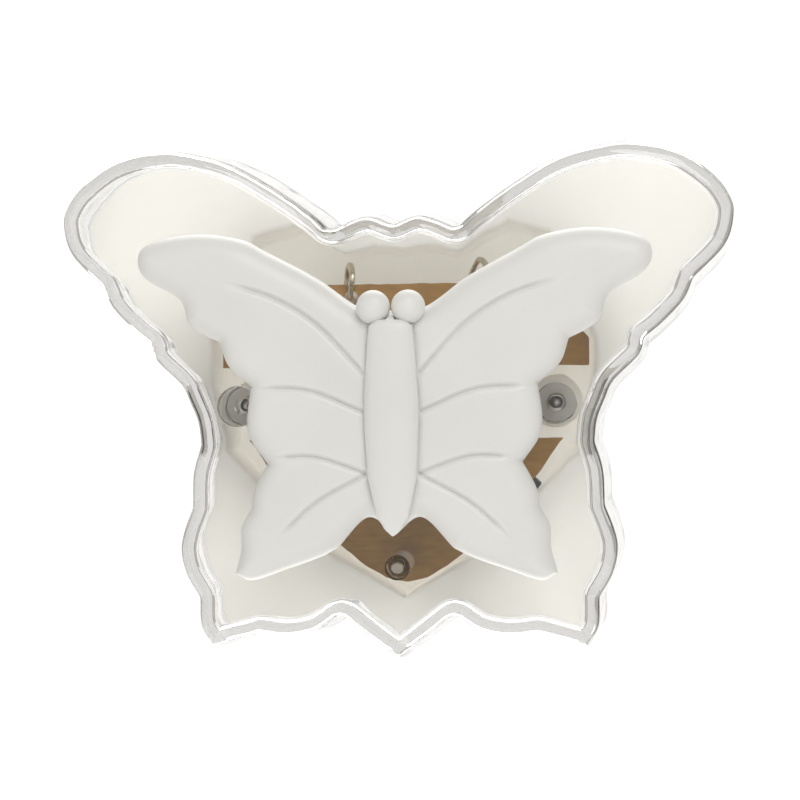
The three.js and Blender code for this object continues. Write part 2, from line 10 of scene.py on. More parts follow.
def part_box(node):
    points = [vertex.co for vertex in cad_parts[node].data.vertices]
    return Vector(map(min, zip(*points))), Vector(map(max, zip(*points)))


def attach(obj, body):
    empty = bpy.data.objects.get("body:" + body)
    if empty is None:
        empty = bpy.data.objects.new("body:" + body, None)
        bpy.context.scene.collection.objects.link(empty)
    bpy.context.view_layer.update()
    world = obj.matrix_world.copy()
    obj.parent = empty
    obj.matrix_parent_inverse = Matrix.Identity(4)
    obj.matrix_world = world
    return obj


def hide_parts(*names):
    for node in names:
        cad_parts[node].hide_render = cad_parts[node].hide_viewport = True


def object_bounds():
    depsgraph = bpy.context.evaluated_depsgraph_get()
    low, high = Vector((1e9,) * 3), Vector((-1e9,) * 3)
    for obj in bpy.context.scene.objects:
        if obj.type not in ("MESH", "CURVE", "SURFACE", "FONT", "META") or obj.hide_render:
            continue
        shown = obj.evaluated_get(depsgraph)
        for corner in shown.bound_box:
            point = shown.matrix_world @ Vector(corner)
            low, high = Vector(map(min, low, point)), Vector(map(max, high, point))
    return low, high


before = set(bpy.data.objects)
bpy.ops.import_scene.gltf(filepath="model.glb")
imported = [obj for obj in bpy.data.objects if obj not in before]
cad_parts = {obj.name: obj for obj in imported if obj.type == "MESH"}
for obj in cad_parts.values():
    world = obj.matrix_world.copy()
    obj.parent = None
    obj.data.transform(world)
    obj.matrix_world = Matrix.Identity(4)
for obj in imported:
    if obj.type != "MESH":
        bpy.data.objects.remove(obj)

# Lengths are in millimetres until a mesh is made. Outlines lie in the plane of the wings:
# x to the right and z up from the butterfly's middle. y runs from the room (low) to the wall (high).
MM = 0.001
cad_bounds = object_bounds()


def span_mm(node):
    low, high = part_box(node)
    return np.array(low) / MM, np.array(high) / MM


housing_low, housing_high = span_mm("back_housing")
board_low, board_high = span_mm("circuit_board")

# ---- shape values shared with the CAD model ----
SHELL_WALL = 2.0
SHELL_FACE = 2.0
SHELL_DEPTH = 16.0
SHELL_FRONT_TO_BOARD = 18.4
SHELL_DRAFT = 1.4
RIM_FLARE = 1.5
FLANGE_GAP = 0.3
BOX_WALL = 2.0
RIM_WIDTH = 1.0
BLOCK_WIDTH = 32.0
BLOCK_HEIGHT = 11.0
BLOCK_FLANGE = 1.5
PLUG_ROW = 10.0
PIN_X = 9.5
PIN_RADIUS = 2.0
SHANK_RADIUS = 1.6
SLEEVE_END = 10.0
SLEEVE_SEAT = 2.0
PIN_LENGTH = 19.0
BOARD_TOP = 17.7
WALL_START = (31.3, -6.4)
WALL_END = (12.4, -25.4)
SWITCH_TRAVEL = 2.5
SWITCH_GAP = 0.3

# The plug pins' axis is the frame's zero height, and it lies this far above the butterfly's middle.
MIDDLE_Z = -PLUG_ROW
Y_BOX_BACK = housing_high[1]
Y_FLOOR = Y_BOX_BACK - BOX_WALL
Y_SHELL_FRONT = board_low[1] - SHELL_FRONT_TO_BOARD
Y_RIM = Y_SHELL_FRONT + SHELL_DEPTH
Y_FLANGE_FRONT = housing_low[1]
Y_FACE_INSIDE = Y_SHELL_FRONT + SHELL_FACE
Y_BOARD_FRONT = board_low[1]
Y_BOARD_BACK = board_high[1]

Y_DRAFT_START = Y_FLANGE_FRONT - FLANGE_GAP

# ---- the finer shape ----
SHELL_EDGE_RADIUS = 2.4
FINE_STEP = 0.7

# Each outline is the right half, as runs of smooth curve that meet at corners.
SHELL_RUNS = [
    [(0, 25.5), (4, 26.8), (9.3, 24.9)],
    [(9.3, 24.9), (12.1, 27.4), (17.2, 31), (23.4, 34.6), (29.9, 36.5), (35, 36.8),
     (41.3, 35.3), (46.1, 32), (48.5, 28.8), (49, 26), (47.7, 21.9), (43.2, 17.3)],
    [(43.2, 17.3), (41.8, 14.2), (38.7, 10.9), (36, 8.7)],
    [(36, 8.7), (35.3, 6.3), (31.6, 2.6), (30.4, 0.1)],
    [(30.4, 0.1), (29.2, -3), (28.8, -6.3)],
    [(28.8, -6.3), (30, -10.5), (30.2, -15.6)],
    [(30.2, -15.6), (31.5, -19), (32, -22), (31.2, -25.5), (29.3, -28.8)],
    [(29.3, -28.8), (29.1, -33.1), (27.4, -35.9)],
    [(27.4, -35.9), (23.8, -34.9), (20.4, -34)],
    [(20.4, -34), (16.2, -34.4), (12, -33.6), (8.3, -31.2)],
    [(8.3, -31.2), (4, -34.6), (0, -37.6)],
]

DIFFUSER_RUNS = [
    [(0, 13), (4.9, 13.6), (11, 17.8), (18.2, 21.7), (22, 23.6), (28.4, 24.5), (34.9, 23.5), (37.2, 21.4),
     (36.2, 18.2), (31.1, 15), (29.9, 11.6), (27.9, 10), (25.3, 8.7)],
    [(25.3, 8.7), (24, 5.2), (20.8, 2.2)],
    [(20.8, 2.2), (21.4, -2.6), (20.9, -5.5), (18.5, -9)],
    [(18.5, -9), (20.4, -12.7), (20.9, -15.6)],
    [(20.9, -15.6), (22.4, -18.2), (22.5, -21.5), (23.4, -25)],
    [(23.4, -25), (21, -26), (16.2, -24.5), (11.1, -22.7), (8.5, -21.4)],
    [(8.5, -21.4), (3.9, -16.9), (0, -19.5)],
]

BOX_RUNS = [
    [(0, 24.6), (4, 25.4), (8.4, 24.2)],
    [(8.4, 24.2), (12, 26.8), (16.3, 28.8)],
    [(16.3, 28.8), (24, 26.6)],
    [(24, 26.6), (31.3, 9.3)],
    [(31.3, 9.3), WALL_START],
    [WALL_START, WALL_END],
    [WALL_END, (0, -32.6)],
]

BOARD_RUNS = [
    [(0, BOARD_TOP), (21, BOARD_TOP)],
    [(21, BOARD_TOP), (28.4, 9)],
    [(28.4, 9), (28.4, 0)],
    [(28.4, 0), (26.8, -3.5), (23.9, -6.9), (20.6, -11.5), (14.6, -18.4), (8.7, -24), (4, -27.4), (0, -28.4)],
]


# ---------------------------------------------------------------- outlines
def smooth_curve(knots, step, fewest=1):
    """Points along a Catmull-Rom curve through the knots, with the last one left out."""
    padded = np.vstack([2 * knots[0] - knots[1], knots, 2 * knots[-1] - knots[-2]])
    pieces = []
    for a, b, c, d in zip(padded, padded[1:], padded[2:], padded[3:]):
        count = max(fewest, round(np.linalg.norm(c - b) / step))
        t = np.linspace(0, 1, count, endpoint=False)[:, None]
        pieces.append(0.5 * (2 * b + (c - a) * t + (2 * a - 5 * b + 4 * c - d) * t**2
                             + (3 * b - a - 3 * c + d) * t**3))
    return np.vstack(pieces)


def spline_points(points, step):
    """Points along one run of an outline: a straight line through two points, or else a smooth curve."""
    knots = np.array(points, float)
    if len(knots) == 2:
        count = max(2, int(np.linalg.norm(knots[1] - knots[0]) / step))
        return knots[0] + (knots[1] - knots[0]) * np.linspace(0, 1, count, endpoint=False)[:, None]
    return smooth_curve(knots, step)


def mirrored_outline(runs, step=FINE_STEP):
    """A closed outline, counterclockwise seen from the room, mirrored about x = 0."""
    half = np.vstack([spline_points(run, step) for run in runs] + [[runs[-1][-1]]])
    left = half[1:-1] * [-1, 1]
    return np.vstack([left, half[::-1]])


def distance_to(points, outline):
    """The distance from each point to the closed outline."""
    start = outline[None, :, :]
    edge = np.roll(outline, -1, axis=0)[None, :, :] - start
    away = points[:, None, :] - start
    along = np.clip((away * edge).sum(2) / np.maximum((edge**2).sum(2), 1e-12), 0, 1)
    return np.linalg.norm(away - edge * along[:, :, None], axis=2).min(1)


def is_inside(points, outline):
    x, z = points[:, 0][:, None], points[:, 1][:, None]
    start, end = outline[None, :, :], np.roll(outline, -1, axis=0)[None, :, :]
    crosses = (start[:, :, 1] > z) != (end[:, :, 1] > z)
    height = np.where(end[:, :, 1] == start[:, :, 1], 1, end[:, :, 1] - start[:, :, 1])
    at = start[:, :, 0] + (z - start[:, :, 1]) * (end[:, :, 0] - start[:, :, 0]) / height
    return (crosses & (x < at)).sum(1) % 2 == 1


def inset(outline, distance, tolerance=0.03):
    """The outline moved inwards: round about inner notches, mitred at outer points."""
    arc_step = math.pi / 14
    before = outline - np.roll(outline, 1, axis=0)
    after = np.roll(outline, -1, axis=0) - outline
    inwards = np.arctan2(before[:, 1], before[:, 0]) + math.pi / 2
    cross = before[:, 0] * after[:, 1] - before[:, 1] * after[:, 0]
    bend = np.arctan2(cross, (before * after).sum(1))
    moved = []
    for corner, angle, turn in zip(outline, inwards, bend):
        if turn >= 0:
            reach = distance / max(math.cos(turn / 2), 0.3)
            moved.append(corner + reach * np.array([math.cos(angle + turn / 2), math.sin(angle + turn / 2)]))
            continue
        arcs = max(1, math.ceil(-turn / arc_step))
        for k in range(arcs + 1):
            a = angle + turn * k / arcs
            moved.append(corner + distance * np.array([math.cos(a), math.sin(a)]))
    moved = np.array(moved)
    kept = moved[(distance_to(moved, outline) > distance - tolerance) & is_inside(moved, outline)]
    return without_short_steps(kept)


def moved_out(outline, distance, tolerance=0.03):
    """The outline moved outwards, square at its points and its notches."""
    before = outline - np.roll(outline, 1, axis=0)
    after = np.roll(outline, -1, axis=0) - outline
    outwards = np.arctan2(before[:, 1], before[:, 0]) - math.pi / 2
    turn = np.arctan2(before[:, 0] * after[:, 1] - before[:, 1] * after[:, 0], (before * after).sum(1))
    angle = outwards + turn / 2
    reach = distance / np.maximum(np.cos(turn / 2), 0.3)
    moved = outline + np.stack([reach * np.cos(angle), reach * np.sin(angle)], 1)
    return without_short_steps(moved[distance_to(moved, outline) > distance - tolerance])


def without_short_steps(loop, shortest=0.08):
    gaps = np.linalg.norm(loop - np.roll(loop, 1, axis=0), axis=1)
    return loop[gaps > shortest]


def circle(x, z, radius, count=48):
    angle = np.linspace(0, 2 * math.pi, count, endpoint=False)
    return np.stack([x + radius * np.cos(angle), z + radius * np.sin(angle)], axis=1)


def grid_inside(outline, step, margin):
    """A triangular grid of points at least margin inside the outline."""
    low, high = outline.min(0), outline.max(0)
    rows = np.arange(low[1], high[1], step * 0.866)
    grid = [(x + (step / 2 if r % 2 else 0), z)
            for r, z in enumerate(rows) for x in np.arange(low[0], high[0], step)]
    grid = np.array(grid)
    grid = grid[is_inside(grid, outline)]
    return grid[distance_to(grid, outline) > margin]


def fill(loops, extra=(), holes=()):
    """Triangles over an outline (the first loop), through all loops and extra points, less the holes."""
    points, edges = [], []
    for loop in list(loops) + list(holes):
        base = len(points)
        points += [tuple(p) for p in loop]
        edges += [(base + i, base + (i + 1) % len(loop)) for i in range(len(loop))]
    points += [tuple(p) for p in extra]
    flat, _, faces, *_ = delaunay_2d_cdt([Vector(p) for p in points], edges, [], 0, 1e-5)
    flat = np.array([tuple(p) for p in flat])
    faces = np.array([f for f in faces if len(f) == 3])
    middle = flat[faces].mean(1)
    keep = is_inside(middle, loops[0])
    for hole in holes:
        keep &= ~is_inside(middle, hole)
    faces = faces[keep]
    a, b, c = flat[faces[:, 0]], flat[faces[:, 1]], flat[faces[:, 2]]
    flipped = (b - a)[:, 0] * (c - a)[:, 1] - (b - a)[:, 1] * (c - a)[:, 0] < 0
    faces[flipped] = faces[flipped][:, ::-1]
    return flat, faces


# ---------------------------------------------------------------- meshes
class Builder:
    """Collects surfaces in millimetres and makes one clean mesh object of them."""

    def __init__(self):
        self.points = []
        self.faces = []

    def add(self, points, faces):
        base = len(self.points)
        self.points += [tuple(p) for p in points]
        self.faces += [tuple(base + i for i in face) for face in faces]

    def sheet(self, flat, faces, y, to_room=True):
        """A triangulated sheet at depth y (one value or one per point), facing the room or the wall."""
        depth = np.broadcast_to(y, len(flat))
        order = faces if to_room else faces[:, ::-1]
        self.add(np.stack([flat[:, 0], depth, flat[:, 1]], axis=1), order)

    def cap(self, outline, y, to_room=True, extra=(), holes=()):
        """A flat sheet over an outline, less the holes."""
        flat, faces = fill([outline], extra, holes)
        self.sheet(flat, faces, y, to_room)

    def band(self, loop_a, y_a, loop_b, y_b, outwards=True):
        """Quads between two loops of equal count, a nearer the wall than b for an outward face."""
        count = len(loop_a)
        depth_a, depth_b = np.broadcast_to(y_a, count), np.broadcast_to(y_b, count)
        points = np.vstack([np.stack([loop_a[:, 0], depth_a, loop_a[:, 1]], axis=1),
                            np.stack([loop_b[:, 0], depth_b, loop_b[:, 1]], axis=1)])
        faces = []
        for i in range(count):
            j = (i + 1) % count
            quad = (i, j, count + j, count + i)
            faces.append(quad if outwards else quad[::-1])
        self.add(points, faces)

    def make(self, name, smooth_angle=40):
        mesh = bpy.data.meshes.new(name)
        world = [(x * MM, y * MM, (z + MIDDLE_Z) * MM) for x, y, z in self.points]
        mesh.from_pydata(world, [], self.faces)
        work = bmesh.new()
        work.from_mesh(mesh)
        bmesh.ops.remove_doubles(work, verts=work.verts, dist=2e-6)
        bmesh.ops.dissolve_degenerate(work, dist=1e-6, edges=work.edges)
        bmesh.ops.recalc_face_normals(work, faces=work.faces)
        work.to_mesh(mesh)
        work.free()
        mesh.shade_smooth()
        mesh.set_sharp_from_angle(angle=math.radians(smooth_angle))
        piece = bpy.data.objects.new(name, mesh)
        bpy.context.scene.collection.objects.link(piece)
        return piece


def quarter_drop(distance, radius):
    """How far a rounded edge falls back at a distance inside its outline."""
    short = np.clip(radius - distance, 0, radius)
    return radius - np.sqrt(np.maximum(radius**2 - short**2, 0))


def rounded_front(builder, outline, y_front, radius, to_room=True, holes=(), grid=3.0, fall=1, draft=0.0,
                  draft_depth=0.0):
    """A flat face with a rounded edge, and outside that a side that slopes by the draft over its depth."""
    shares = [0.02, 0.08, 0.18, 0.32, 0.5, 0.72, 1.0]
    rings = [inset(outline, draft * share) for share in (0.25, 0.5, 0.75, 1.0) if draft]
    rings += [inset(outline, draft + radius * share) for share in shares]
    extra = np.vstack(rings[:-1] + [grid_inside(rings[-1], grid, grid * 0.4)])
    for hole in holes:
        extra = extra[~is_inside(extra, hole) & (distance_to(extra, hole) > 0.2)]
    flat, faces = fill([outline, rings[-1]], extra, holes)
    distance = distance_to(flat, outline)
    drop = quarter_drop(np.maximum(distance - draft, 0), radius)
    if draft:
        drop += draft_depth * np.clip(1 - distance / draft, 0, 1)
    builder.sheet(flat, faces, y_front + fall * drop, to_room)


# ---------------------------------------------------------------- materials
def new_material(name):
    material = bpy.data.materials.new(name)
    material.use_nodes = True
    tree = material.node_tree
    return material, tree, tree.nodes["Principled BSDF"]


def add_node(tree, kind, **values):
    """A new node with its named inputs set. An underscore stands for a space in a name."""
    return with_values(tree.nodes.new(f"ShaderNode{kind}"), **values)


def with_values(node, **values):
    for name, value in values.items():
        node.inputs[name.replace("_", " ")].default_value = value
    return node


def add_noise(tree, scale, detail=4.0, stretch=(1, 1, 1)):
    place = add_node(tree, "TexCoord")
    mapping = add_node(tree, "Mapping", Scale=stretch)
    noise = add_node(tree, "TexNoise", Scale=scale, Detail=detail)
    tree.links.new(place.outputs["Object"], mapping.inputs["Vector"])
    tree.links.new(mapping.outputs["Vector"], noise.inputs["Vector"])
    return noise.outputs["Fac"]


def add_ramp(tree, source, stops):
    ramp = add_node(tree, "ValToRGB")
    ramp.color_ramp.elements[0].position, ramp.color_ramp.elements[0].color = stops[0]
    ramp.color_ramp.elements[1].position, ramp.color_ramp.elements[1].color = stops[-1]
    for position, colour in stops[1:-1]:
        ramp.color_ramp.elements.new(position).color = colour
    tree.links.new(source, ramp.inputs["Fac"])
    return ramp.outputs["Color"]


def add_colour(tree, shader, source, dark, light, low=0.3, high=0.7):
    tree.links.new(add_ramp(tree, source, [(low, dark), (high, light)]), shader.inputs["Base Color"])


def add_bump(tree, shader, source, strength, distance=0.0001):
    bump = add_node(tree, "Bump", Strength=strength, Distance=distance)
    tree.links.new(source, bump.inputs["Height"])
    tree.links.new(bump.outputs["Normal"], shader.inputs["Normal"])


def add_roughness(tree, shader, source, low, high):
    spread = add_node(tree, "MapRange", To_Min=low, To_Max=high)
    tree.links.new(source, spread.inputs["Value"])
    tree.links.new(spread.outputs["Result"], shader.inputs["Roughness"])


def grey(value):
    return (value, value, value, 1.0)


def moulded_plastic(name, dark, light, roughness, texture_scale=900, bump=0.08, subsurface=0.0):
    """Moulded plastic with faint flow clouding, a fine surface grain and uneven gloss."""
    material, tree, shader = new_material(name)
    cloud = add_noise(tree, 60, 3)
    add_colour(tree, shader, cloud, dark, light)
    add_bump(tree, shader, add_noise(tree, texture_scale, 2), bump)
    add_roughness(tree, shader, cloud, roughness * 0.85, roughness * 1.15)
    if subsurface:
        with_values(shader, Subsurface_Weight=subsurface, Subsurface_Radius=(0.004, 0.0038, 0.0034),
                    Subsurface_Scale=0.5)
    return material


def translucent_white():
    """Thin white plastic that lets a little warm light through its walls."""
    material, tree, shader = new_material("white_plastic")
    cloud = add_noise(tree, 60, 3)
    add_colour(tree, shader, cloud, (0.905, 0.905, 0.893, 1), (0.93, 0.93, 0.92, 1))
    add_roughness(tree, shader, cloud, 0.28, 0.38)
    add_bump(tree, shader, add_noise(tree, 1200, 2), 0.06)
    through = add_node(tree, "BsdfTranslucent", Color=(0.98, 0.965, 0.915, 1))
    mix = add_node(tree, "MixShader", Fac=0.5)
    tree.links.new(shader.outputs["BSDF"], mix.inputs[1])
    tree.links.new(through.outputs["BSDF"], mix.inputs[2])
    tree.links.new(mix.outputs["Shader"], tree.nodes["Material Output"].inputs["Surface"])
    return material


def clear_plastic():
    """Clear acrylic with a slightly wavy skin, faintly grey through its thickness."""
    material, tree, shader = new_material("clear_cover_plastic")
    with_values(shader, Base_Color=grey(1.0), Transmission_Weight=1.0, IOR=1.49)
    flow = add_noise(tree, 130, 2, (1, 0.3, 1))
    add_bump(tree, shader, flow, 0.4, 0.0007)
    add_roughness(tree, shader, flow, 0.0, 0.03)
    absorption = add_node(tree, "VolumeAbsorption", Color=(0.24, 0.22, 0.19, 1), Density=34)
    tree.links.new(absorption.outputs["Volume"], tree.nodes["Material Output"].inputs["Volume"])
    return material


def metal(name, colour, roughness):
    """Bare metal with fine wear."""
    material, tree, shader = new_material(name)
    with_values(shader, Metallic=1.0)
    wear = add_noise(tree, 900, 4)
    dull = tuple(c * 0.8 for c in colour)
    add_colour(tree, shader, wear, (*dull, 1), (*colour, 1), 0.35, 0.65)
    add_roughness(tree, shader, wear, roughness * 0.7, roughness * 1.3)
    add_bump(tree, shader, wear, 0.05)
    return material


def board_paper():
    """Brown resin-bonded paper with its fibres."""
    material, tree, shader = new_material("board_paper")
    fibres = add_noise(tree, 500, 6, (1, 1, 3))
    add_colour(tree, shader, fibres, (0.28, 0.13, 0.008, 1), (0.38, 0.19, 0.02, 1))
    add_roughness(tree, shader, fibres, 0.35, 0.55)
    add_bump(tree, shader, fibres, 0.15)
    return material


CLEAR = clear_plastic()
OPAL = moulded_plastic("opal_plastic", (0.67, 0.665, 0.64, 1), (0.70, 0.695, 0.67, 1), 0.42, 1400, 0.05, 0.35)
WHITE = translucent_white()
DARK = moulded_plastic("dark_plastic", grey(0.018), grey(0.03), 0.45)
BLACK = moulded_plastic("black_case", grey(0.012), grey(0.02), 0.3)
RED = moulded_plastic("red_case", (0.20, 0.03, 0.02, 1), (0.27, 0.05, 0.03, 1), 0.25)
BEIGE = moulded_plastic("resistor_coat", (0.52, 0.38, 0.22, 1), (0.62, 0.47, 0.28, 1), 0.35)
MILKY = moulded_plastic("led_resin", (0.86, 0.84, 0.74, 1), (0.90, 0.88, 0.78, 1), 0.15)
BRASS = metal("tinned_brass", (0.66, 0.60, 0.46), 0.28)
STEEL = metal("screw_steel", (0.82, 0.82, 0.80), 0.36)
BOARD = board_paper()


def finish_piece(piece, material, slot, *nodes, body="light"):
    piece.data.materials.clear()
    piece.data.materials.append(material)
    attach(piece, body)
    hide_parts(*nodes)


# ---------------------------------------------------------------- the clear cover
shell_outline = moved_out(mirrored_outline(SHELL_RUNS), RIM_FLARE)
shell_inside = inset(shell_outline, SHELL_WALL)
screw_low, screw_high = span_mm("shell_screw_right")
POST_X = (screw_low[0] + screw_high[0]) / 2
POST_Z = (screw_low[2] + screw_high[2]) / 2 - MIDDLE_Z
POST_RADIUS = 3.0
POST_BORE = 1.2
POST_GAP = 1.8
BOTTOM_POST = (0.0, -24.5)
BOTTOM_POST_RADIUS = 1.85
BOTTOM_POST_BORE = 0.9
BOTTOM_POST_FLOOR = 0.4
POST_BORE_DEPTH = 8.0
POST_LIP = 0.25
INNER_EDGE_RADIUS = 0.8


def add_post(builder, x, z, radius, bore, y_end, bore_end):
    """A hollow post from the inside of the face towards the wall."""
    outer, inner = circle(x, z, radius), circle(x, z, bore)
    lip = circle(x, z, radius - POST_LIP)
    builder.band(outer, y_end - POST_LIP, outer, Y_FACE_INSIDE, True)
    builder.band(lip, y_end, outer, y_end - POST_LIP, True)
    builder.cap(lip, y_end, False, (), [inner])
    builder.band(inner, y_end, inner, bore_end, False)
    builder.cap(inner, bore_end, False)


def make_clear_shell():
    builder = Builder()
    slope = {"draft": SHELL_DRAFT, "draft_depth": Y_DRAFT_START - Y_SHELL_FRONT - SHELL_EDGE_RADIUS}
    rounded_front(builder, shell_outline, Y_SHELL_FRONT, SHELL_EDGE_RADIUS, **slope)
    builder.band(shell_outline, Y_RIM, shell_outline, Y_DRAFT_START)
    posts = [(side * POST_X, POST_Z, POST_RADIUS, POST_BORE, Y_RIM - POST_GAP, Y_RIM - POST_BORE_DEPTH)
             for side in (-1, 1)]
    posts.append((*BOTTOM_POST, BOTTOM_POST_RADIUS, BOTTOM_POST_BORE,
                  Y_BOARD_FRONT - 0.1, Y_FACE_INSIDE + BOTTOM_POST_FLOOR))
    holes = [circle(x, z, radius) for x, z, radius, *_ in posts]
    slope["draft_depth"] = Y_DRAFT_START - Y_FACE_INSIDE - INNER_EDGE_RADIUS
    rounded_front(builder, shell_inside, Y_FACE_INSIDE, INNER_EDGE_RADIUS, False, holes, **slope)
    builder.band(shell_inside, Y_RIM, shell_inside, Y_DRAFT_START, False)
    builder.cap(shell_outline, Y_RIM, False, (), [shell_inside])
    for post in posts:
        add_post(builder, *post)
    piece = builder.make("clear_cover", 50)
    finish_piece(piece, CLEAR, "clear_plastic", "clear_shell")
    piece.visible_shadow = False


# ---------------------------------------------------------------- the white butterfly
VEINS = [
    [(24, 17.2), (17, 15), (10.6, 11), (4, 4)],
    [(19.5, 2), (12, 1.6), (4.2, -1.5)],
    [(17.2, -8.1), (11, -8), (4, -10.3)],
    [(16.5, -19.4), (11, -14.5), (4, -10.6)],
]
VEIN_LINES = [np.vstack([spline_points(vein, 0.08), [vein[-1]]]) for vein in VEINS]
DIFFUSER_RISE = 5.0
DIFFUSER_EDGE = 3.2
DIFFUSER_FOOT = 1.2
DIFFUSER_CROWN = 0.9
DIFFUSER_CROWN_REACH = 9.0
DIFFUSER_WALL = 1.6
DIFFUSER_HOLLOW = 2.2
VEIN_HALF_WIDTH = 0.36
VEIN_DEPTH = 0.6
BODY_HALF_WIDTH = 3.9
BODY_RISE = 1.7
SEAM_DEPTH = 0.3
SEAM_WIDTH = 0.35
EYE_RADIUS = 2.45
EYE_X = 2.5
EYE_Z = 13.4
EYE_SINK = 0.7


def spindle_half_width(z):
    """Half width of the body at each height."""
    knots_z = [-19.4, -18.6, -16.7, -11, -4, 0, 5, 9, 10.8, 11.6, 12]
    knots_w = [0.0, 1.0, 2.2, 3.5, BODY_HALF_WIDTH, BODY_HALF_WIDTH, 3.6, 3.3, 3.1, 2.2, 0.0]
    return np.interp(z, knots_z, knots_w, left=0, right=0)


def wing_rise(flat, outline):
    """How far the white butterfly stands out from the cover at each point."""
    x, z = np.abs(flat[:, 0]), flat[:, 1]
    distance = distance_to(flat, outline)
    crown = DIFFUSER_CROWN * np.clip(distance / DIFFUSER_CROWN_REACH, 0, 1)
    wing_top = DIFFUSER_RISE - DIFFUSER_CROWN + crown
    rounding = np.sqrt(np.clip(1 - (1 - np.clip(distance / DIFFUSER_EDGE, 0, 1))**2, 0, 1))
    rise = DIFFUSER_FOOT + (wing_top - DIFFUSER_FOOT) * rounding
    mirrored = np.stack([x, z], axis=1)
    for line in VEIN_LINES:
        reach = np.linalg.norm(mirrored[:, None, :] - line[None, :, :], axis=2)
        share = reach.argmin(1) / (len(line) - 1)
        fade = np.clip(share * 6, 0.15, 1)
        rise -= VEIN_DEPTH * fade * np.exp(-(reach.min(1) / VEIN_HALF_WIDTH)**2)
    half = spindle_half_width(z)
    across = np.clip(x / np.maximum(half, 0.01), 0, 1)
    body = DIFFUSER_RISE + 0.1 + BODY_RISE * np.minimum(half / BODY_HALF_WIDTH, 1) * np.sqrt(1 - across**2)
    rise = np.where((half > 0.05) & (x < half), np.maximum(rise, body), rise)
    seam = np.exp(-((x - half) / SEAM_WIDTH)**2) * (half > 0.3)
    rise -= SEAM_DEPTH * seam * (x >= half)
    return rise


def make_diffuser():
    """A hollow cap: its mesh follows the veins and the body, so that their edges stay smooth."""
    outline = mirrored_outline(DIFFUSER_RUNS, 0.5)
    shares = [0.01, 0.04, 0.1, 0.2, 0.34, 0.5, 0.75, 1.0]
    rings = [inset(outline, DIFFUSER_EDGE * share) for share in shares]
    rims = []
    for offset in (-0.3, -0.12, -0.02, 0.02, 0.15, 0.4):
        heights = np.linspace(-19.2, 11.9, 110)
        half = np.maximum(spindle_half_width(heights) + offset, 0.02)
        rims += [np.stack([half, heights], 1), np.stack([-half, heights], 1)]
    grid = grid_inside(rings[-1], 0.6, 0.3)
    seam_gap = np.abs(np.abs(grid[:, 0]) - spindle_half_width(grid[:, 1]))
    grid = grid[seam_gap > 0.6]
    grooves = []
    for line in VEIN_LINES:
        along = line[::4]
        tangent = np.gradient(along, axis=0)
        across = np.stack([-tangent[:, 1], tangent[:, 0]], 1) / np.linalg.norm(tangent, axis=1)[:, None]
        grooves += [along + across * offset for offset in (-0.75, -0.5, -0.3, -0.15, 0, 0.15, 0.3, 0.5, 0.75)]
        mirrored = np.stack([np.abs(grid[:, 0]), grid[:, 1]], 1)
        away = np.linalg.norm(mirrored[:, None, :] - along[None, :, :], axis=2).min(1)
        grid = grid[away > 0.95]
    grooves = np.vstack(grooves)
    grooves = grooves[grooves[:, 0] > spindle_half_width(grooves[:, 1]) + 0.5]
    extra = np.vstack(rings + rims + [grid, grooves, grooves * [-1, 1]])
    flat, faces = fill([outline], extra)
    builder = Builder()
    rise = wing_rise(flat, outline)
    builder.sheet(flat, faces, Y_SHELL_FRONT - rise)
    edge_rise = wing_rise(outline, outline)
    builder.band(outline, Y_SHELL_FRONT, outline, Y_SHELL_FRONT - edge_rise)
    inner = inset(outline, DIFFUSER_WALL)
    builder.cap(outline, Y_SHELL_FRONT, False, (), [inner])
    y_ceiling = Y_SHELL_FRONT - DIFFUSER_HOLLOW
    builder.band(inner, Y_SHELL_FRONT, inner, y_ceiling, False)
    builder.cap(inner, y_ceiling, False, grid_inside(inner, 3, 0.8))
    piece = builder.make("white_butterfly", 60)
    for side in (-1, 1):
        ball = make_ball(side * EYE_X, Y_SHELL_FRONT - DIFFUSER_RISE + EYE_SINK, EYE_Z, EYE_RADIUS)
        combine(piece, ball, smooth_angle=60)
    finish_piece(piece, OPAL, "opal_plastic", "butterfly_diffuser")


def make_ball(x, y, z, radius):
    work = bmesh.new()
    bmesh.ops.create_icosphere(work, subdivisions=4, radius=radius * MM)
    bmesh.ops.translate(work, verts=work.verts, vec=(x * MM, y * MM, (z + MIDDLE_Z) * MM))
    mesh = bpy.data.meshes.new("ball")
    work.to_mesh(mesh)
    work.free()
    mesh.shade_smooth()
    ball = bpy.data.objects.new("ball", mesh)
    bpy.context.scene.collection.objects.link(ball)
    return ball


def combine(whole, part, operation="UNION", smooth_angle=40):
    """One closed skin of the two pieces, or of what the second leaves of the first."""
    step = whole.modifiers.new("step", "BOOLEAN")
    step.operation = operation
    step.solver = "EXACT"
    step.object = part
    bpy.context.view_layer.update()
    graph = bpy.context.evaluated_depsgraph_get()
    mesh = bpy.data.meshes.new_from_object(whole.evaluated_get(graph))
    whole.modifiers.clear()
    whole.data = mesh
    bpy.data.objects.remove(part)
    mesh.shade_smooth()
    mesh.set_sharp_from_angle(angle=math.radians(smooth_angle))


# ---------------------------------------------------------------- shared solids
def prism(name, outline, y_back, y_front):
    builder = Builder()
    builder.cap(outline, y_front)
    builder.cap(outline, y_back, False)
    builder.band(outline, y_back, outline, y_front)
    return builder.make(name)


def ring_faces(rings, sides):
    """Quads between each ring of points and the next."""
    faces = []
    for ring in range(rings - 1):
        for i in range(sides):
            j = (i + 1) % sides
            faces.append((ring * sides + i, ring * sides + j, (ring + 1) * sides + j, (ring + 1) * sides + i))
    return faces


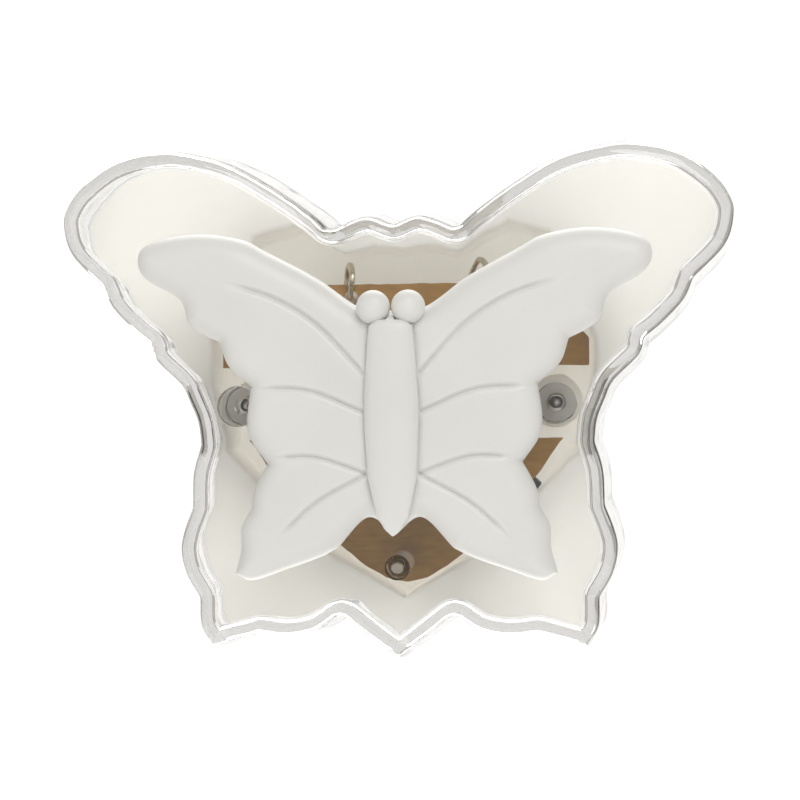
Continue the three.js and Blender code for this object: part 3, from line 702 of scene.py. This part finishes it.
def turned(name, profile, x, z, sides=48):
    """A closed profile of (radius, y) pairs turned about an axis along y at (x, z)."""
    builder = Builder()
    angle = np.linspace(0, 2 * math.pi, sides, endpoint=False)
    points = [(x + r * math.cos(a), y, z + r * math.sin(a)) for r, y in profile for a in angle]
    builder.add(points, ring_faces(len(profile), sides))
    return builder.make(name)


def tube(name, path, radius, sides=14, step=0.35):
    """A round wire along a smooth path, with closed ends."""
    knots = np.array(path, float)
    line = np.vstack([smooth_curve(knots, step, 2), knots[-1:]])
    tangents = np.gradient(line, axis=0)
    tangents /= np.linalg.norm(tangents, axis=1)[:, None]
    side = np.cross(tangents[0], (1, 0.3, 0.2))
    builder = Builder()
    points = []
    for centre, tangent in zip(line, tangents):
        side = side - tangent * side.dot(tangent)
        side /= np.linalg.norm(side)
        other = np.cross(tangent, side)
        for k in range(sides):
            a = 2 * math.pi * k / sides
            points.append(centre + radius * (math.cos(a) * side + math.sin(a) * other))
    faces = ring_faces(len(line), sides)
    faces.append(tuple(range(sides)))
    faces.append(tuple(range((len(line) - 1) * sides, len(line) * sides)))
    builder.add(points, faces)
    return builder.make(name)


def rounded_box(name, size, centre, radius, turn=0.0, origin=(0.0, 0.0)):
    """A box with rounded edges, turned about y and moved to its origin in the plane of the wings."""
    work = bmesh.new()
    bmesh.ops.create_cube(work, size=1)
    bmesh.ops.scale(work, verts=work.verts, vec=size)
    bmesh.ops.translate(work, verts=work.verts, vec=centre)
    bmesh.ops.bevel(work, geom=work.edges[:], offset=radius, segments=4, affect="EDGES", profile=0.5)
    c, s = math.cos(turn), math.sin(turn)
    builder = Builder()
    work.verts.ensure_lookup_table()
    builder.add([(origin[0] + c * v.co.x - s * v.co.z, v.co.y, origin[1] + s * v.co.x + c * v.co.z)
                 for v in work.verts], [[v.index for v in f.verts] for f in work.faces])
    work.free()
    return builder.make(name, 50)


def stadium(width, height, centre_z, count=20):
    radius = height / 2
    reach = width / 2 - radius
    right = np.linspace(-math.pi / 2, math.pi / 2, count)
    left = right + math.pi
    return np.vstack([np.stack([reach + radius * np.cos(right), centre_z + radius * np.sin(right)], 1),
                      np.stack([-reach + radius * np.cos(left), centre_z + radius * np.sin(left)], 1)])


def intersection(first, second):
    """The outline of what two overlapping outlines share."""
    points = [tuple(p) for p in first] + [tuple(p) for p in second]
    count = len(first)
    edges = [(i, (i + 1) % count) for i in range(count)]
    edges += [(count + i, count + (i + 1) % len(second)) for i in range(len(second))]
    flat, _, faces, *_ = delaunay_2d_cdt([Vector(p) for p in points], edges, [], 0, 1e-4)
    flat = np.array([tuple(p) for p in flat])
    faces = np.array([f for f in faces if len(f) == 3])
    middle = flat[faces].mean(1)
    faces = faces[is_inside(middle, first) & is_inside(middle, second)]
    open_edges = set()
    for face in faces.tolist():
        for a, b in zip(face, face[1:] + face[:1]):
            if (b, a) in open_edges:
                open_edges.remove((b, a))
            else:
                open_edges.add((a, b))
    follow = dict(open_edges)
    start = at = next(iter(follow))
    loop = []
    while not loop or at != start:
        loop.append(flat[at])
        at = follow[at]
    return without_short_steps(np.array(loop))


# ---------------------------------------------------------------- the white back housing
box_outline = mirrored_outline(BOX_RUNS)
flange_outline = inset(shell_outline, SHELL_WALL + FLANGE_GAP)
WELL_FILLET = 0.8
WELL_EDGE = 0.6
FLOOR_FILLET = 0.8
BACK_RADIUS = 1.8
SCREW_SEAT = 3.0
COUNTERBORE_RADIUS = 2.9
SCREW_HOLE = 1.4
BOSS_FOOT_RADIUS = 4.1
BOSS_FOOT_RISE = 1.5
BOSS_EDGE = 0.25
STANDOFF_RADIUS = 2.2
STANDOFF_FOOT = 0.4
PILOT_RADIUS = 1.0
SWITCH_PLACE = 0.62
SWITCH_CASE_DEPTH = 3.2
SLOT_SIZE = (6.1, 2.4)
y_screw_seat = Y_BOX_BACK - SCREW_SEAT
board_screw_low, board_screw_high = span_mm("board_screw_right")
BOARD_SCREW_X = (board_screw_low[0] + board_screw_high[0]) / 2
BOARD_SCREW_Z = (board_screw_low[2] + board_screw_high[2]) / 2 - MIDDLE_Z
wall_start, wall_end = np.array(WALL_START), np.array(WALL_END)
wall_turn = math.atan2(wall_start[1] - wall_end[1], wall_start[0] - wall_end[0])
wall_place = tuple(wall_start + (wall_end - wall_start) * SWITCH_PLACE)
switch_y = Y_FLOOR - SWITCH_GAP - SWITCH_CASE_DEPTH / 2
limit_inset = SHELL_WALL + FLANGE_GAP + RIM_WIDTH
box_outer = intersection(box_outline, inset(shell_outline, limit_inset - BOX_WALL))


def make_well():
    """The hollow of the housing: a fillet at the top edge and another round the floor."""
    limit = inset(shell_outline, limit_inset)
    wide_limit = inset(shell_outline, SHELL_WALL + FLANGE_GAP + WELL_EDGE)
    wall = intersection(inset(box_outline, BOX_WALL), limit)
    edge = intersection(inset(box_outline, BOX_WALL - WELL_FILLET), wide_limit)
    y_top = Y_FLANGE_FRONT
    builder = Builder()
    rings = []
    for share in (0.15, 0.35, 0.6, 0.85):
        reach = BOX_WALL - WELL_FILLET * share
        narrow = limit_inset - (RIM_WIDTH - WELL_EDGE) * share
        rings.append(intersection(inset(box_outline, reach), inset(shell_outline, narrow)))
    flat, faces = fill([edge], np.vstack(rings), [wall])
    near, far = distance_to(flat, wall), distance_to(flat, edge)
    share = near / np.maximum(near + far, 1e-6)
    drop = WELL_FILLET * (1 - np.sqrt(np.maximum(1 - (1 - share)**2, 0)))
    builder.sheet(flat, faces, y_top + drop, False)
    builder.band(edge, y_top, edge, y_top - 1)
    builder.cap(edge, y_top - 1)
    builder.band(wall, Y_FLOOR - FLOOR_FILLET, wall, y_top + WELL_FILLET)
    rounded_front(builder, wall, Y_FLOOR, FLOOR_FILLET, False, fall=-1)
    return builder.make("well")


def add_boss(housing, x):
    """A screw boss with a wider foot, its counterbore open to the back."""
    foot, foot_end, edge = BOSS_FOOT_RADIUS, y_screw_seat - BOSS_FOOT_RISE, BOSS_EDGE
    profile = [(0, Y_FLOOR + 0.5), (foot, Y_FLOOR + 0.5), (foot, foot_end + edge), (foot - edge, foot_end),
               (POST_RADIUS, foot_end), (POST_RADIUS, Y_RIM + edge), (POST_RADIUS - edge, Y_RIM), (0, Y_RIM)]
    boss = turned("boss", profile, x, POST_Z)
    combine(boss, prism("limit", box_outer, Y_BOX_BACK, Y_RIM - 1), "INTERSECT")
    combine(housing, boss)
    bore = [(0, Y_BOX_BACK + 1), (COUNTERBORE_RADIUS + 0.3, Y_BOX_BACK + 1),
            (COUNTERBORE_RADIUS, Y_BOX_BACK - 0.3), (COUNTERBORE_RADIUS, y_screw_seat),
            (SCREW_HOLE, y_screw_seat), (SCREW_HOLE, Y_RIM - 1), (0, Y_RIM - 1)]
    combine(housing, turned("bore", bore, x, POST_Z), "DIFFERENCE")


def add_standoff(housing, x):
    """A stand-off with a pilot hole for a board screw."""
    foot = STANDOFF_RADIUS + STANDOFF_FOOT
    profile = [(0, Y_FLOOR + 0.5), (foot, Y_FLOOR + 0.5), (STANDOFF_RADIUS, Y_FLOOR - 1),
               (STANDOFF_RADIUS, Y_BOARD_BACK), (0, Y_BOARD_BACK)]
    combine(housing, turned("standoff", profile, x, BOARD_SCREW_Z))
    pilot = [(0, Y_FLOOR - 0.5), (PILOT_RADIUS, Y_FLOOR - 0.5), (PILOT_RADIUS, Y_BOARD_BACK - 1),
             (0, Y_BOARD_BACK - 1)]
    combine(housing, turned("pilot", pilot, x, BOARD_SCREW_Z), "DIFFERENCE")


def make_housing():
    """The wing plates and the deep box as one skin, hollowed, with bosses, stand-offs and openings."""
    plate = Builder()
    rounded_front(plate, flange_outline, Y_FLANGE_FRONT, 0.5)
    plate.band(flange_outline, Y_RIM, flange_outline, Y_FLANGE_FRONT + 0.5)
    plate.cap(flange_outline, Y_RIM, False)
    housing = plate.make("white_back")
    deep = Builder()
    rounded_front(deep, box_outer, Y_BOX_BACK, BACK_RADIUS, False, fall=-1)
    deep.band(box_outer, Y_BOX_BACK - BACK_RADIUS, box_outer, Y_RIM)
    deep.cap(box_outer, Y_RIM)
    combine(housing, deep.make("deep_box"))
    combine(housing, make_well(), "DIFFERENCE")
    for side in (-1, 1):
        add_boss(housing, side * POST_X)
        add_standoff(housing, side * BOARD_SCREW_X)
    plug_hole = stadium(BLOCK_WIDTH + 0.1, BLOCK_HEIGHT + 0.1, PLUG_ROW)
    combine(housing, prism("plug_hole", plug_hole, Y_BOX_BACK + 1, Y_FLOOR - 1), "DIFFERENCE")
    slot = rounded_box("slot", (*SLOT_SIZE, 8), (0, switch_y, 0), 0.3, wall_turn, wall_place)
    combine(housing, slot, "DIFFERENCE")
    finish_piece(housing, WHITE, "white_plastic", "back_housing")


# ---------------------------------------------------------------- plug
BLOCK_EDGE = 0.7
PIN_HEAD_RADIUS = 2.6
PIN_TIP_RADIUS = 1.2
FIT_GAP = 0.05
HOOK_HEADROOM = 4.5
WIRE_RADIUS = 0.45
SOLDER_BELOW_TOP = 2.0


def make_plug_block():
    outline = stadium(BLOCK_WIDTH, BLOCK_HEIGHT, PLUG_ROW)
    flange = stadium(BLOCK_WIDTH + 2, BLOCK_HEIGHT - 1, PLUG_ROW)
    builder = Builder()
    rounded_front(builder, outline, 0, BLOCK_EDGE, False, fall=-1)
    builder.band(outline, -BLOCK_EDGE, outline, Y_FLOOR)
    builder.cap(outline, Y_FLOOR)
    block = builder.make("plug_body")
    combine(block, prism("flange", flange, Y_FLOOR, Y_FLOOR - BLOCK_FLANGE))
    for side in (-1, 1):
        shank, seat = SHANK_RADIUS + FIT_GAP, PIN_RADIUS + FIT_GAP
        bore = [(0, 1), (seat, 1), (seat, -SLEEVE_SEAT), (shank, -SLEEVE_SEAT),
                (shank, Y_FLOOR - 3), (0, Y_FLOOR - 3)]
        combine(block, turned("bore", bore, side * PIN_X, PLUG_ROW), "DIFFERENCE")
    finish_piece(block, WHITE, "white_plastic", "plug_block")


def arc_profile(radius, y_end, corner, steps=5):
    """The rounded end of a pin: from its side to its flat tip."""
    return [(radius - corner + corner * math.cos(a), y_end - corner + corner * math.sin(a))
            for a in np.linspace(0, math.pi / 2, steps)]


def make_pin(name, x):
    """A pin with its head inside the plug block, and the dark sleeve on its waist."""
    head = Y_FLOOR - BLOCK_FLANGE - FIT_GAP
    profile = [(0, head - 1), (PIN_HEAD_RADIUS - 0.3, head - 1), (PIN_HEAD_RADIUS, head - 0.7),
               (PIN_HEAD_RADIUS, head), (SHANK_RADIUS, head),
               (SHANK_RADIUS, SLEEVE_END + FIT_GAP), (PIN_RADIUS - 0.1, SLEEVE_END + FIT_GAP),
               (PIN_RADIUS, SLEEVE_END + 0.15), *arc_profile(PIN_RADIUS, PIN_LENGTH, PIN_TIP_RADIUS),
               (0, PIN_LENGTH)]
    finish_piece(turned("pin", profile, x, PLUG_ROW), BRASS, "tinned_brass", f"plug_pin_{name}")
    inner = SHANK_RADIUS + FIT_GAP
    seat = FIT_GAP - SLEEVE_SEAT
    sleeve = [(inner, seat), (PIN_RADIUS, seat), (PIN_RADIUS, SLEEVE_END - 0.15),
              (PIN_RADIUS - 0.15, SLEEVE_END), (inner, SLEEVE_END), (inner, seat)]
    finish_piece(turned("sleeve", sleeve, x, PLUG_ROW), DARK, "dark_plastic", f"pin_sleeve_{name}")


def make_wire(name, x, lean, rise):
    """From the pin head up behind the board, over its top edge and down to a solder point in front."""
    start = Y_FLOOR - BLOCK_FLANGE - 1.2
    behind = start - 0.6
    top = BOARD_TOP + rise
    solder_z = BOARD_TOP - SOLDER_BELOW_TOP
    middle = (Y_BOARD_BACK + Y_BOARD_FRONT) / 2
    path = [(x, start, PLUG_ROW), (x, start - 0.4, PLUG_ROW), (x, behind, PLUG_ROW + 1.4),
            (x + lean * 0.2, behind, BOARD_TOP - 1.5), (x + lean * 0.4, behind - 0.1, BOARD_TOP + rise * 0.5),
            (x + lean * 0.9, middle - 0.2, top),
            (x + lean * 1.3, Y_BOARD_FRONT - 1.8, BOARD_TOP + rise * 0.4),
            (x + lean, Y_BOARD_FRONT - 1.5, BOARD_TOP - 1.4), (x + lean, Y_BOARD_FRONT - 0.7, solder_z),
            (x + lean, Y_BOARD_FRONT - 0.15, solder_z)]
    finish_piece(tube("wire", path, WIRE_RADIUS), BRASS, "tinned_brass", f"pin_wire_{name}")
    dome = [(0, Y_BOARD_FRONT), (1.15, Y_BOARD_FRONT), (1.05, Y_BOARD_FRONT - 0.25),
            (0.7, Y_BOARD_FRONT - 0.5), (0.45, Y_BOARD_FRONT - 0.9), (0, Y_BOARD_FRONT - 0.95)]
    finish_piece(turned("solder", dome, x + lean, solder_z, 24), STEEL, "screw_steel")


# ---------------------------------------------------------------- screws
# Shares of the shank's radius, then of the head's.
THREAD_PITCH = 0.42
THREAD_DEPTH = 0.14
CROSS_LENGTH = 1.3
CROSS_WIDTH = 0.26
# radius, head radius, head height, length
SHELL_SCREW = (1.15, 2.6, 1.8, 12)
BOARD_SCREW = (0.95, 1.9, 1.3, 4.4)


def make_screw(node, x, z, seat, towards, radius, head_radius, head_height, length):
    """A cross-recessed screw: its head lies on the seat and its thread runs the other way."""
    ring = [(0, head_height), (head_radius * 0.45, head_height), (head_radius * 0.75, head_height * 0.9),
            (head_radius * 0.95, head_height * 0.6), (head_radius, head_height * 0.3), (head_radius, 0)]
    pitch, depth = radius * THREAD_PITCH, radius * THREAD_DEPTH
    turns = int((length - radius) / pitch)
    for k in range(turns):
        ring += [(radius, -pitch * (k + 0.3)), (radius - depth, -pitch * (k + 0.8))]
    ring += [(radius - depth, radius * 2 - length), (radius * 0.15, -length), (0, -length)]
    screw = turned("screw", [(r, seat + towards * y) for r, y in ring], x, z, 40)
    y_cut = seat + towards * head_height
    for width, height in ((CROSS_LENGTH, CROSS_WIDTH), (CROSS_WIDTH, CROSS_LENGTH)):
        size = (head_radius * width, head_height, head_radius * height)
        combine(screw, rounded_box("cut", size, (x, y_cut, z), 0.08), "DIFFERENCE", 30)
    finish_piece(screw, STEEL, "screw_steel", node)


# ---------------------------------------------------------------- circuit board and switch
BOARD_GAP = 0.6
BOARD_HOLE = 1.2
NOTCH_ROOM = 2.6
NOTCH_REACH = 12
CASE_LENGTH = 8.6
CASE_HEIGHT = 4
KNOB_LENGTH = 3
KNOB_WIDTH = 1.8
KNOB_FOOT = 1.3
KNOB_OUT = 1.6
KNOB_GROOVE = 0.35
KNOB_GROOVE_PITCH = 0.85


def make_board():
    """The board's own outline, held inside the box, with room for the posts and holes for its screws."""
    limit = intersection(inset(box_outline, BOX_WALL + BOARD_GAP),
                         inset(shell_outline, limit_inset + BOARD_GAP))
    outline = intersection(mirrored_outline(BOARD_RUNS), limit)
    board = prism("board", outline, Y_BOARD_BACK, Y_BOARD_FRONT)
    notch = POST_RADIUS + NOTCH_ROOM
    for side in (-1, 1):
        place = (side * (POST_X - notch + NOTCH_REACH / 2), Y_BOARD_BACK, POST_Z)
        combine(board, rounded_box("notch", (NOTCH_REACH, 6, 2 * notch), place, 0.8), "DIFFERENCE")
        hole = [(0, Y_BOARD_BACK + 1), (BOARD_HOLE, Y_BOARD_BACK + 1), (BOARD_HOLE, Y_BOARD_FRONT - 1),
                (0, Y_BOARD_FRONT - 1)]
        combine(board, turned("hole", hole, side * BOARD_SCREW_X, BOARD_SCREW_Z), "DIFFERENCE")
    finish_piece(board, BOARD, "board_paper", "circuit_board")


def make_switch():
    """The switch's case behind the sloping wall and its knob, which starts at one end of the slot."""
    on_wall = (wall_turn, wall_place)
    case_front = BOX_WALL + SWITCH_GAP
    case_size = (CASE_LENGTH, SWITCH_CASE_DEPTH, CASE_HEIGHT)
    body = rounded_box("switch_case", case_size, (0, switch_y, case_front + CASE_HEIGHT / 2), 0.2, *on_wall)
    slot = rounded_box("slot", (*SLOT_SIZE, 3.2), (0, switch_y, case_front), 0.1, *on_wall)
    combine(body, slot, "DIFFERENCE")
    finish_piece(body, DARK, "dark_plastic", "switch_body")
    foot = case_front + KNOB_FOOT
    length = foot + KNOB_OUT
    x = -SWITCH_TRAVEL / 2
    knob_size = (KNOB_LENGTH, KNOB_WIDTH, length)
    knob = rounded_box("switch_knob", knob_size, (x, switch_y, foot - length / 2), 0.15, *on_wall)
    for k in (-1, 0, 1):
        place = (x + k * KNOB_GROOVE_PITCH, switch_y, -KNOB_OUT)
        combine(knob, rounded_box("groove", (KNOB_GROOVE, 4, 0.7), place, 0.05, *on_wall), "DIFFERENCE", 30)
    finish_piece(knob, DARK, "dark_plastic", "switch_slider", body="slider")


# ---------------------------------------------------------------- parts on the board
LED_RADIUS = 2.5
LED_COLLAR = 2.9
LED_SHOULDER = 6.1
AXIAL_SIDES = 28
AXIAL_CLEARANCE = 0.45
LEAD_RADIUS = 0.3
LEAD_REACH = 2
FILM_SIZE = (5.5, 11, 12)
CAN_RADIUS = 3.15
CAN_HEIGHT = 8


def centre_of(node):
    low, high = span_mm(node)
    return (low[0] + high[0]) / 2, (low[2] + high[2]) / 2 - MIDDLE_Z


def make_led(node):
    x, z = centre_of(node)
    y = Y_BOARD_FRONT
    dome = [(LED_RADIUS * math.cos(a), y - LED_SHOULDER - LED_RADIUS * math.sin(a))
            for a in np.linspace(0, math.pi / 2, 10)]
    profile = [(0, y), (LED_COLLAR, y), (LED_COLLAR, y - 0.9), (LED_COLLAR - 0.1, y - 1),
               (LED_RADIUS, y - 1), *dome]
    finish_piece(turned("lamp", profile, x, z), MILKY, "led_resin", node)


def make_axial(node, length, radius, material, slot):
    """A coated part on its two bent leads, along x."""
    x, z = centre_of(node)
    y = Y_BOARD_FRONT - radius - AXIAL_CLEARANCE
    waist = radius * 0.86
    half = length / 2
    profile = [(0, -half), (radius * 0.7, -half), (radius, -half + 0.4), (radius, -half + 1.2),
               (waist, -half + 1.7), (waist, half - 1.7), (radius, half - 1.2), (radius, half - 0.4),
               (radius * 0.7, half), (0, half)]
    builder = Builder()
    angle = np.linspace(0, 2 * math.pi, AXIAL_SIDES, endpoint=False)
    points = [(x + along, y + r * math.cos(a), z + r * math.sin(a)) for r, along in profile for a in angle]
    builder.add(points, ring_faces(len(profile), AXIAL_SIDES))
    finish_piece(builder.make("coated_part"), material, slot, node)
    reach = half + LEAD_REACH
    path = [(x - reach, Y_BOARD_FRONT - 0.05, z), (x - reach, y + 0.6, z), (x - reach + 0.6, y, z), (x, y, z),
            (x + reach - 0.6, y, z), (x + reach, y + 0.6, z), (x + reach, Y_BOARD_FRONT - 0.05, z)]
    finish_piece(tube("lead", path, LEAD_RADIUS, 10), STEEL, "screw_steel")


def make_capacitors():
    x, z = centre_of("film_capacitor")
    film = rounded_box("film_case", FILM_SIZE, (x, Y_BOARD_FRONT - FILM_SIZE[1] / 2, z), 0.9)
    finish_piece(film, RED, "red_case", "film_capacitor")
    x, z = centre_of("smoothing_capacitor")
    y = Y_BOARD_FRONT
    side, top = CAN_RADIUS, y - CAN_HEIGHT
    can = [(0, y), (side - 0.25, y), (side, y - 0.4), (side, y - 1), (side - 0.2, y - 1.3), (side, y - 1.6),
           (side, top + 0.4), (side - 0.2, top + 0.05), (2.6, top), (2.5, top + 0.15), (0, top + 0.2)]
    finish_piece(turned("can", can, x, z), BLACK, "black_case", "smoothing_capacitor")


make_clear_shell()
make_diffuser()
make_housing()
make_plug_block()
make_board()
make_switch()
sides = (("left", -1, 1.4, HOOK_HEADROOM * 2 / 3), ("right", 1, 2.8, HOOK_HEADROOM * 0.8))
for name, side, lean, rise in sides:
    make_pin(name, side * PIN_X)
    make_wire(name, side * PIN_X, lean, rise)
    make_screw(f"shell_screw_{name}", side * POST_X, POST_Z, y_screw_seat, 1, *SHELL_SCREW)
    make_screw(f"board_screw_{name}", side * BOARD_SCREW_X, BOARD_SCREW_Z, Y_BOARD_FRONT, -1, *BOARD_SCREW)
for index in range(1, 5):
    make_led(f"led_{index}")
    make_axial(f"diode_{index}", 4.2, 1.0, BLACK, "black_case")
make_axial("series_resistor", 6.5, 1.2, BEIGE, "resistor_coat")
make_axial("bleed_resistor", 6.5, 1.2, BEIGE, "resistor_coat")
make_capacitors()


# ---------------------------------------------------------------- stage, light and camera
def add_stage():
    """A pale sweep: a floor well below the light that curves up into a far backdrop."""
    width, near, far, floor_z, top = 1.0, -1.2, 1.4, -0.42, 0.9
    bend = 0.5
    profile = [(near, floor_z)]
    for k in range(13):
        angle = math.pi / 2 * k / 12
        profile.append((far - bend + bend * math.sin(angle), floor_z + bend - bend * math.cos(angle)))
    profile.append((far, top))
    points = [(side * width, y, z) for y, z in profile for side in (-1, 1)]
    faces = [(2 * i, 2 * i + 1, 2 * i + 3, 2 * i + 2) for i in range(len(profile) - 1)]
    mesh = bpy.data.meshes.new("sweep")
    mesh.from_pydata(points, [], faces)
    mesh.shade_smooth()
    sweep = bpy.data.objects.new("sweep", mesh)
    bpy.context.scene.collection.objects.link(sweep)
    material, _, shader = new_material("pale_sweep")
    with_values(shader, Base_Color=grey(0.9), Roughness=0.9, Emission_Color=grey(1.0), Emission_Strength=0.35)
    mesh.materials.append(material)


def add_softbox(name, place, aim, size, power):
    light = bpy.data.lights.new(name, "AREA")
    light.shape = "RECTANGLE"
    light.size, light.size_y = size
    light.energy = power
    lamp = bpy.data.objects.new(name, light)
    lamp.location = place
    lamp.rotation_euler = (Vector(aim) - Vector(place)).to_track_quat("-Z", "Y").to_euler()
    bpy.context.scene.collection.objects.link(lamp)


def add_world():
    """A studio that is pale in front and greyer at the sides, with soft streaks for the clear edges."""
    world = bpy.data.worlds.new("studio")
    world.use_nodes = True
    tree = world.node_tree
    place = add_node(tree, "TexCoord")
    split = add_node(tree, "SeparateXYZ")
    half = add_node(tree, "MapRange", From_Min=-1, From_Max=1)
    tree.links.new(place.outputs["Generated"], split.inputs["Vector"])
    tree.links.new(split.outputs["Y"], half.inputs["Value"])
    streaks = add_node(tree, "TexNoise", Scale=3.5, Detail=2)
    tree.links.new(place.outputs["Generated"], streaks.inputs["Vector"])
    sway = add_node(tree, "Math")
    sway.operation = "MULTIPLY_ADD"
    sway.inputs[1].default_value = 0.5
    tree.links.new(streaks.outputs["Fac"], sway.inputs[0])
    tree.links.new(half.outputs["Result"], sway.inputs[2])
    colour = add_ramp(tree, sway.outputs["Value"],
                      [(0.3, (0.7, 0.7, 0.69, 1)), (0.6, (0.66, 0.65, 0.63, 1)), (0.7, (0.45, 0.42, 0.38, 1)),
                       (0.85, (0.38, 0.35, 0.31, 1)), (1.0, (0.64, 0.62, 0.59, 1))])
    tree.links.new(colour, tree.nodes["Background"].inputs["Color"])
    with_values(tree.nodes["Background"], Strength=1.0)
    bpy.context.scene.world = world


CAMERA_DISTANCE = 0.27
CAMERA_AZIMUTH = 5.2
CAMERA_ELEVATION = 1.0
CAMERA_ROLL = 0.7
CAMERA_LENS = 83.7
CAMERA_SHIFT = (0.007, 0.005)


def add_camera():
    low, high = Vector(cad_bounds[0]), Vector(cad_bounds[1])
    target = Vector(((low.x + high.x) / 2, Y_SHELL_FRONT * MM, (low.z + high.z) / 2))
    azimuth, elevation = math.radians(CAMERA_AZIMUTH), math.radians(CAMERA_ELEVATION)
    away = Vector((math.sin(azimuth) * math.cos(elevation), -math.cos(azimuth) * math.cos(elevation),
                   math.sin(elevation)))
    data = bpy.data.cameras.new("camera")
    data.lens = CAMERA_LENS
    data.clip_start = 0.01
    data.shift_x, data.shift_y = CAMERA_SHIFT
    camera = bpy.data.objects.new("camera", data)
    camera.location = target + away * CAMERA_DISTANCE
    straight = (-away).to_track_quat("-Z", "Y")
    camera.rotation_euler = (straight @ Quaternion((0, 0, 1), math.radians(-CAMERA_ROLL))).to_euler()
    bpy.context.scene.collection.objects.link(camera)
    bpy.context.scene.camera = camera


add_stage()
add_world()
add_softbox("key_softbox", (0.25, -0.7, 0.6), (0, 0, 0), (0.5, 0.5), 3.2)
add_softbox("fill_softbox", (-0.6, -0.5, 0.1), (0, 0, 0), (0.3, 0.7), 0.4)
add_softbox("rear_softbox_high", (0, 0.35, 0.45), (0, 0, 0), (0.5, 0.3), 1.6)
add_softbox("rear_softbox_low", (0, 0.3, -0.38), (0, 0, 0), (0.5, 0.3), 1.6)
add_camera()
bpy.context.scene.view_settings.view_transform = "Standard"
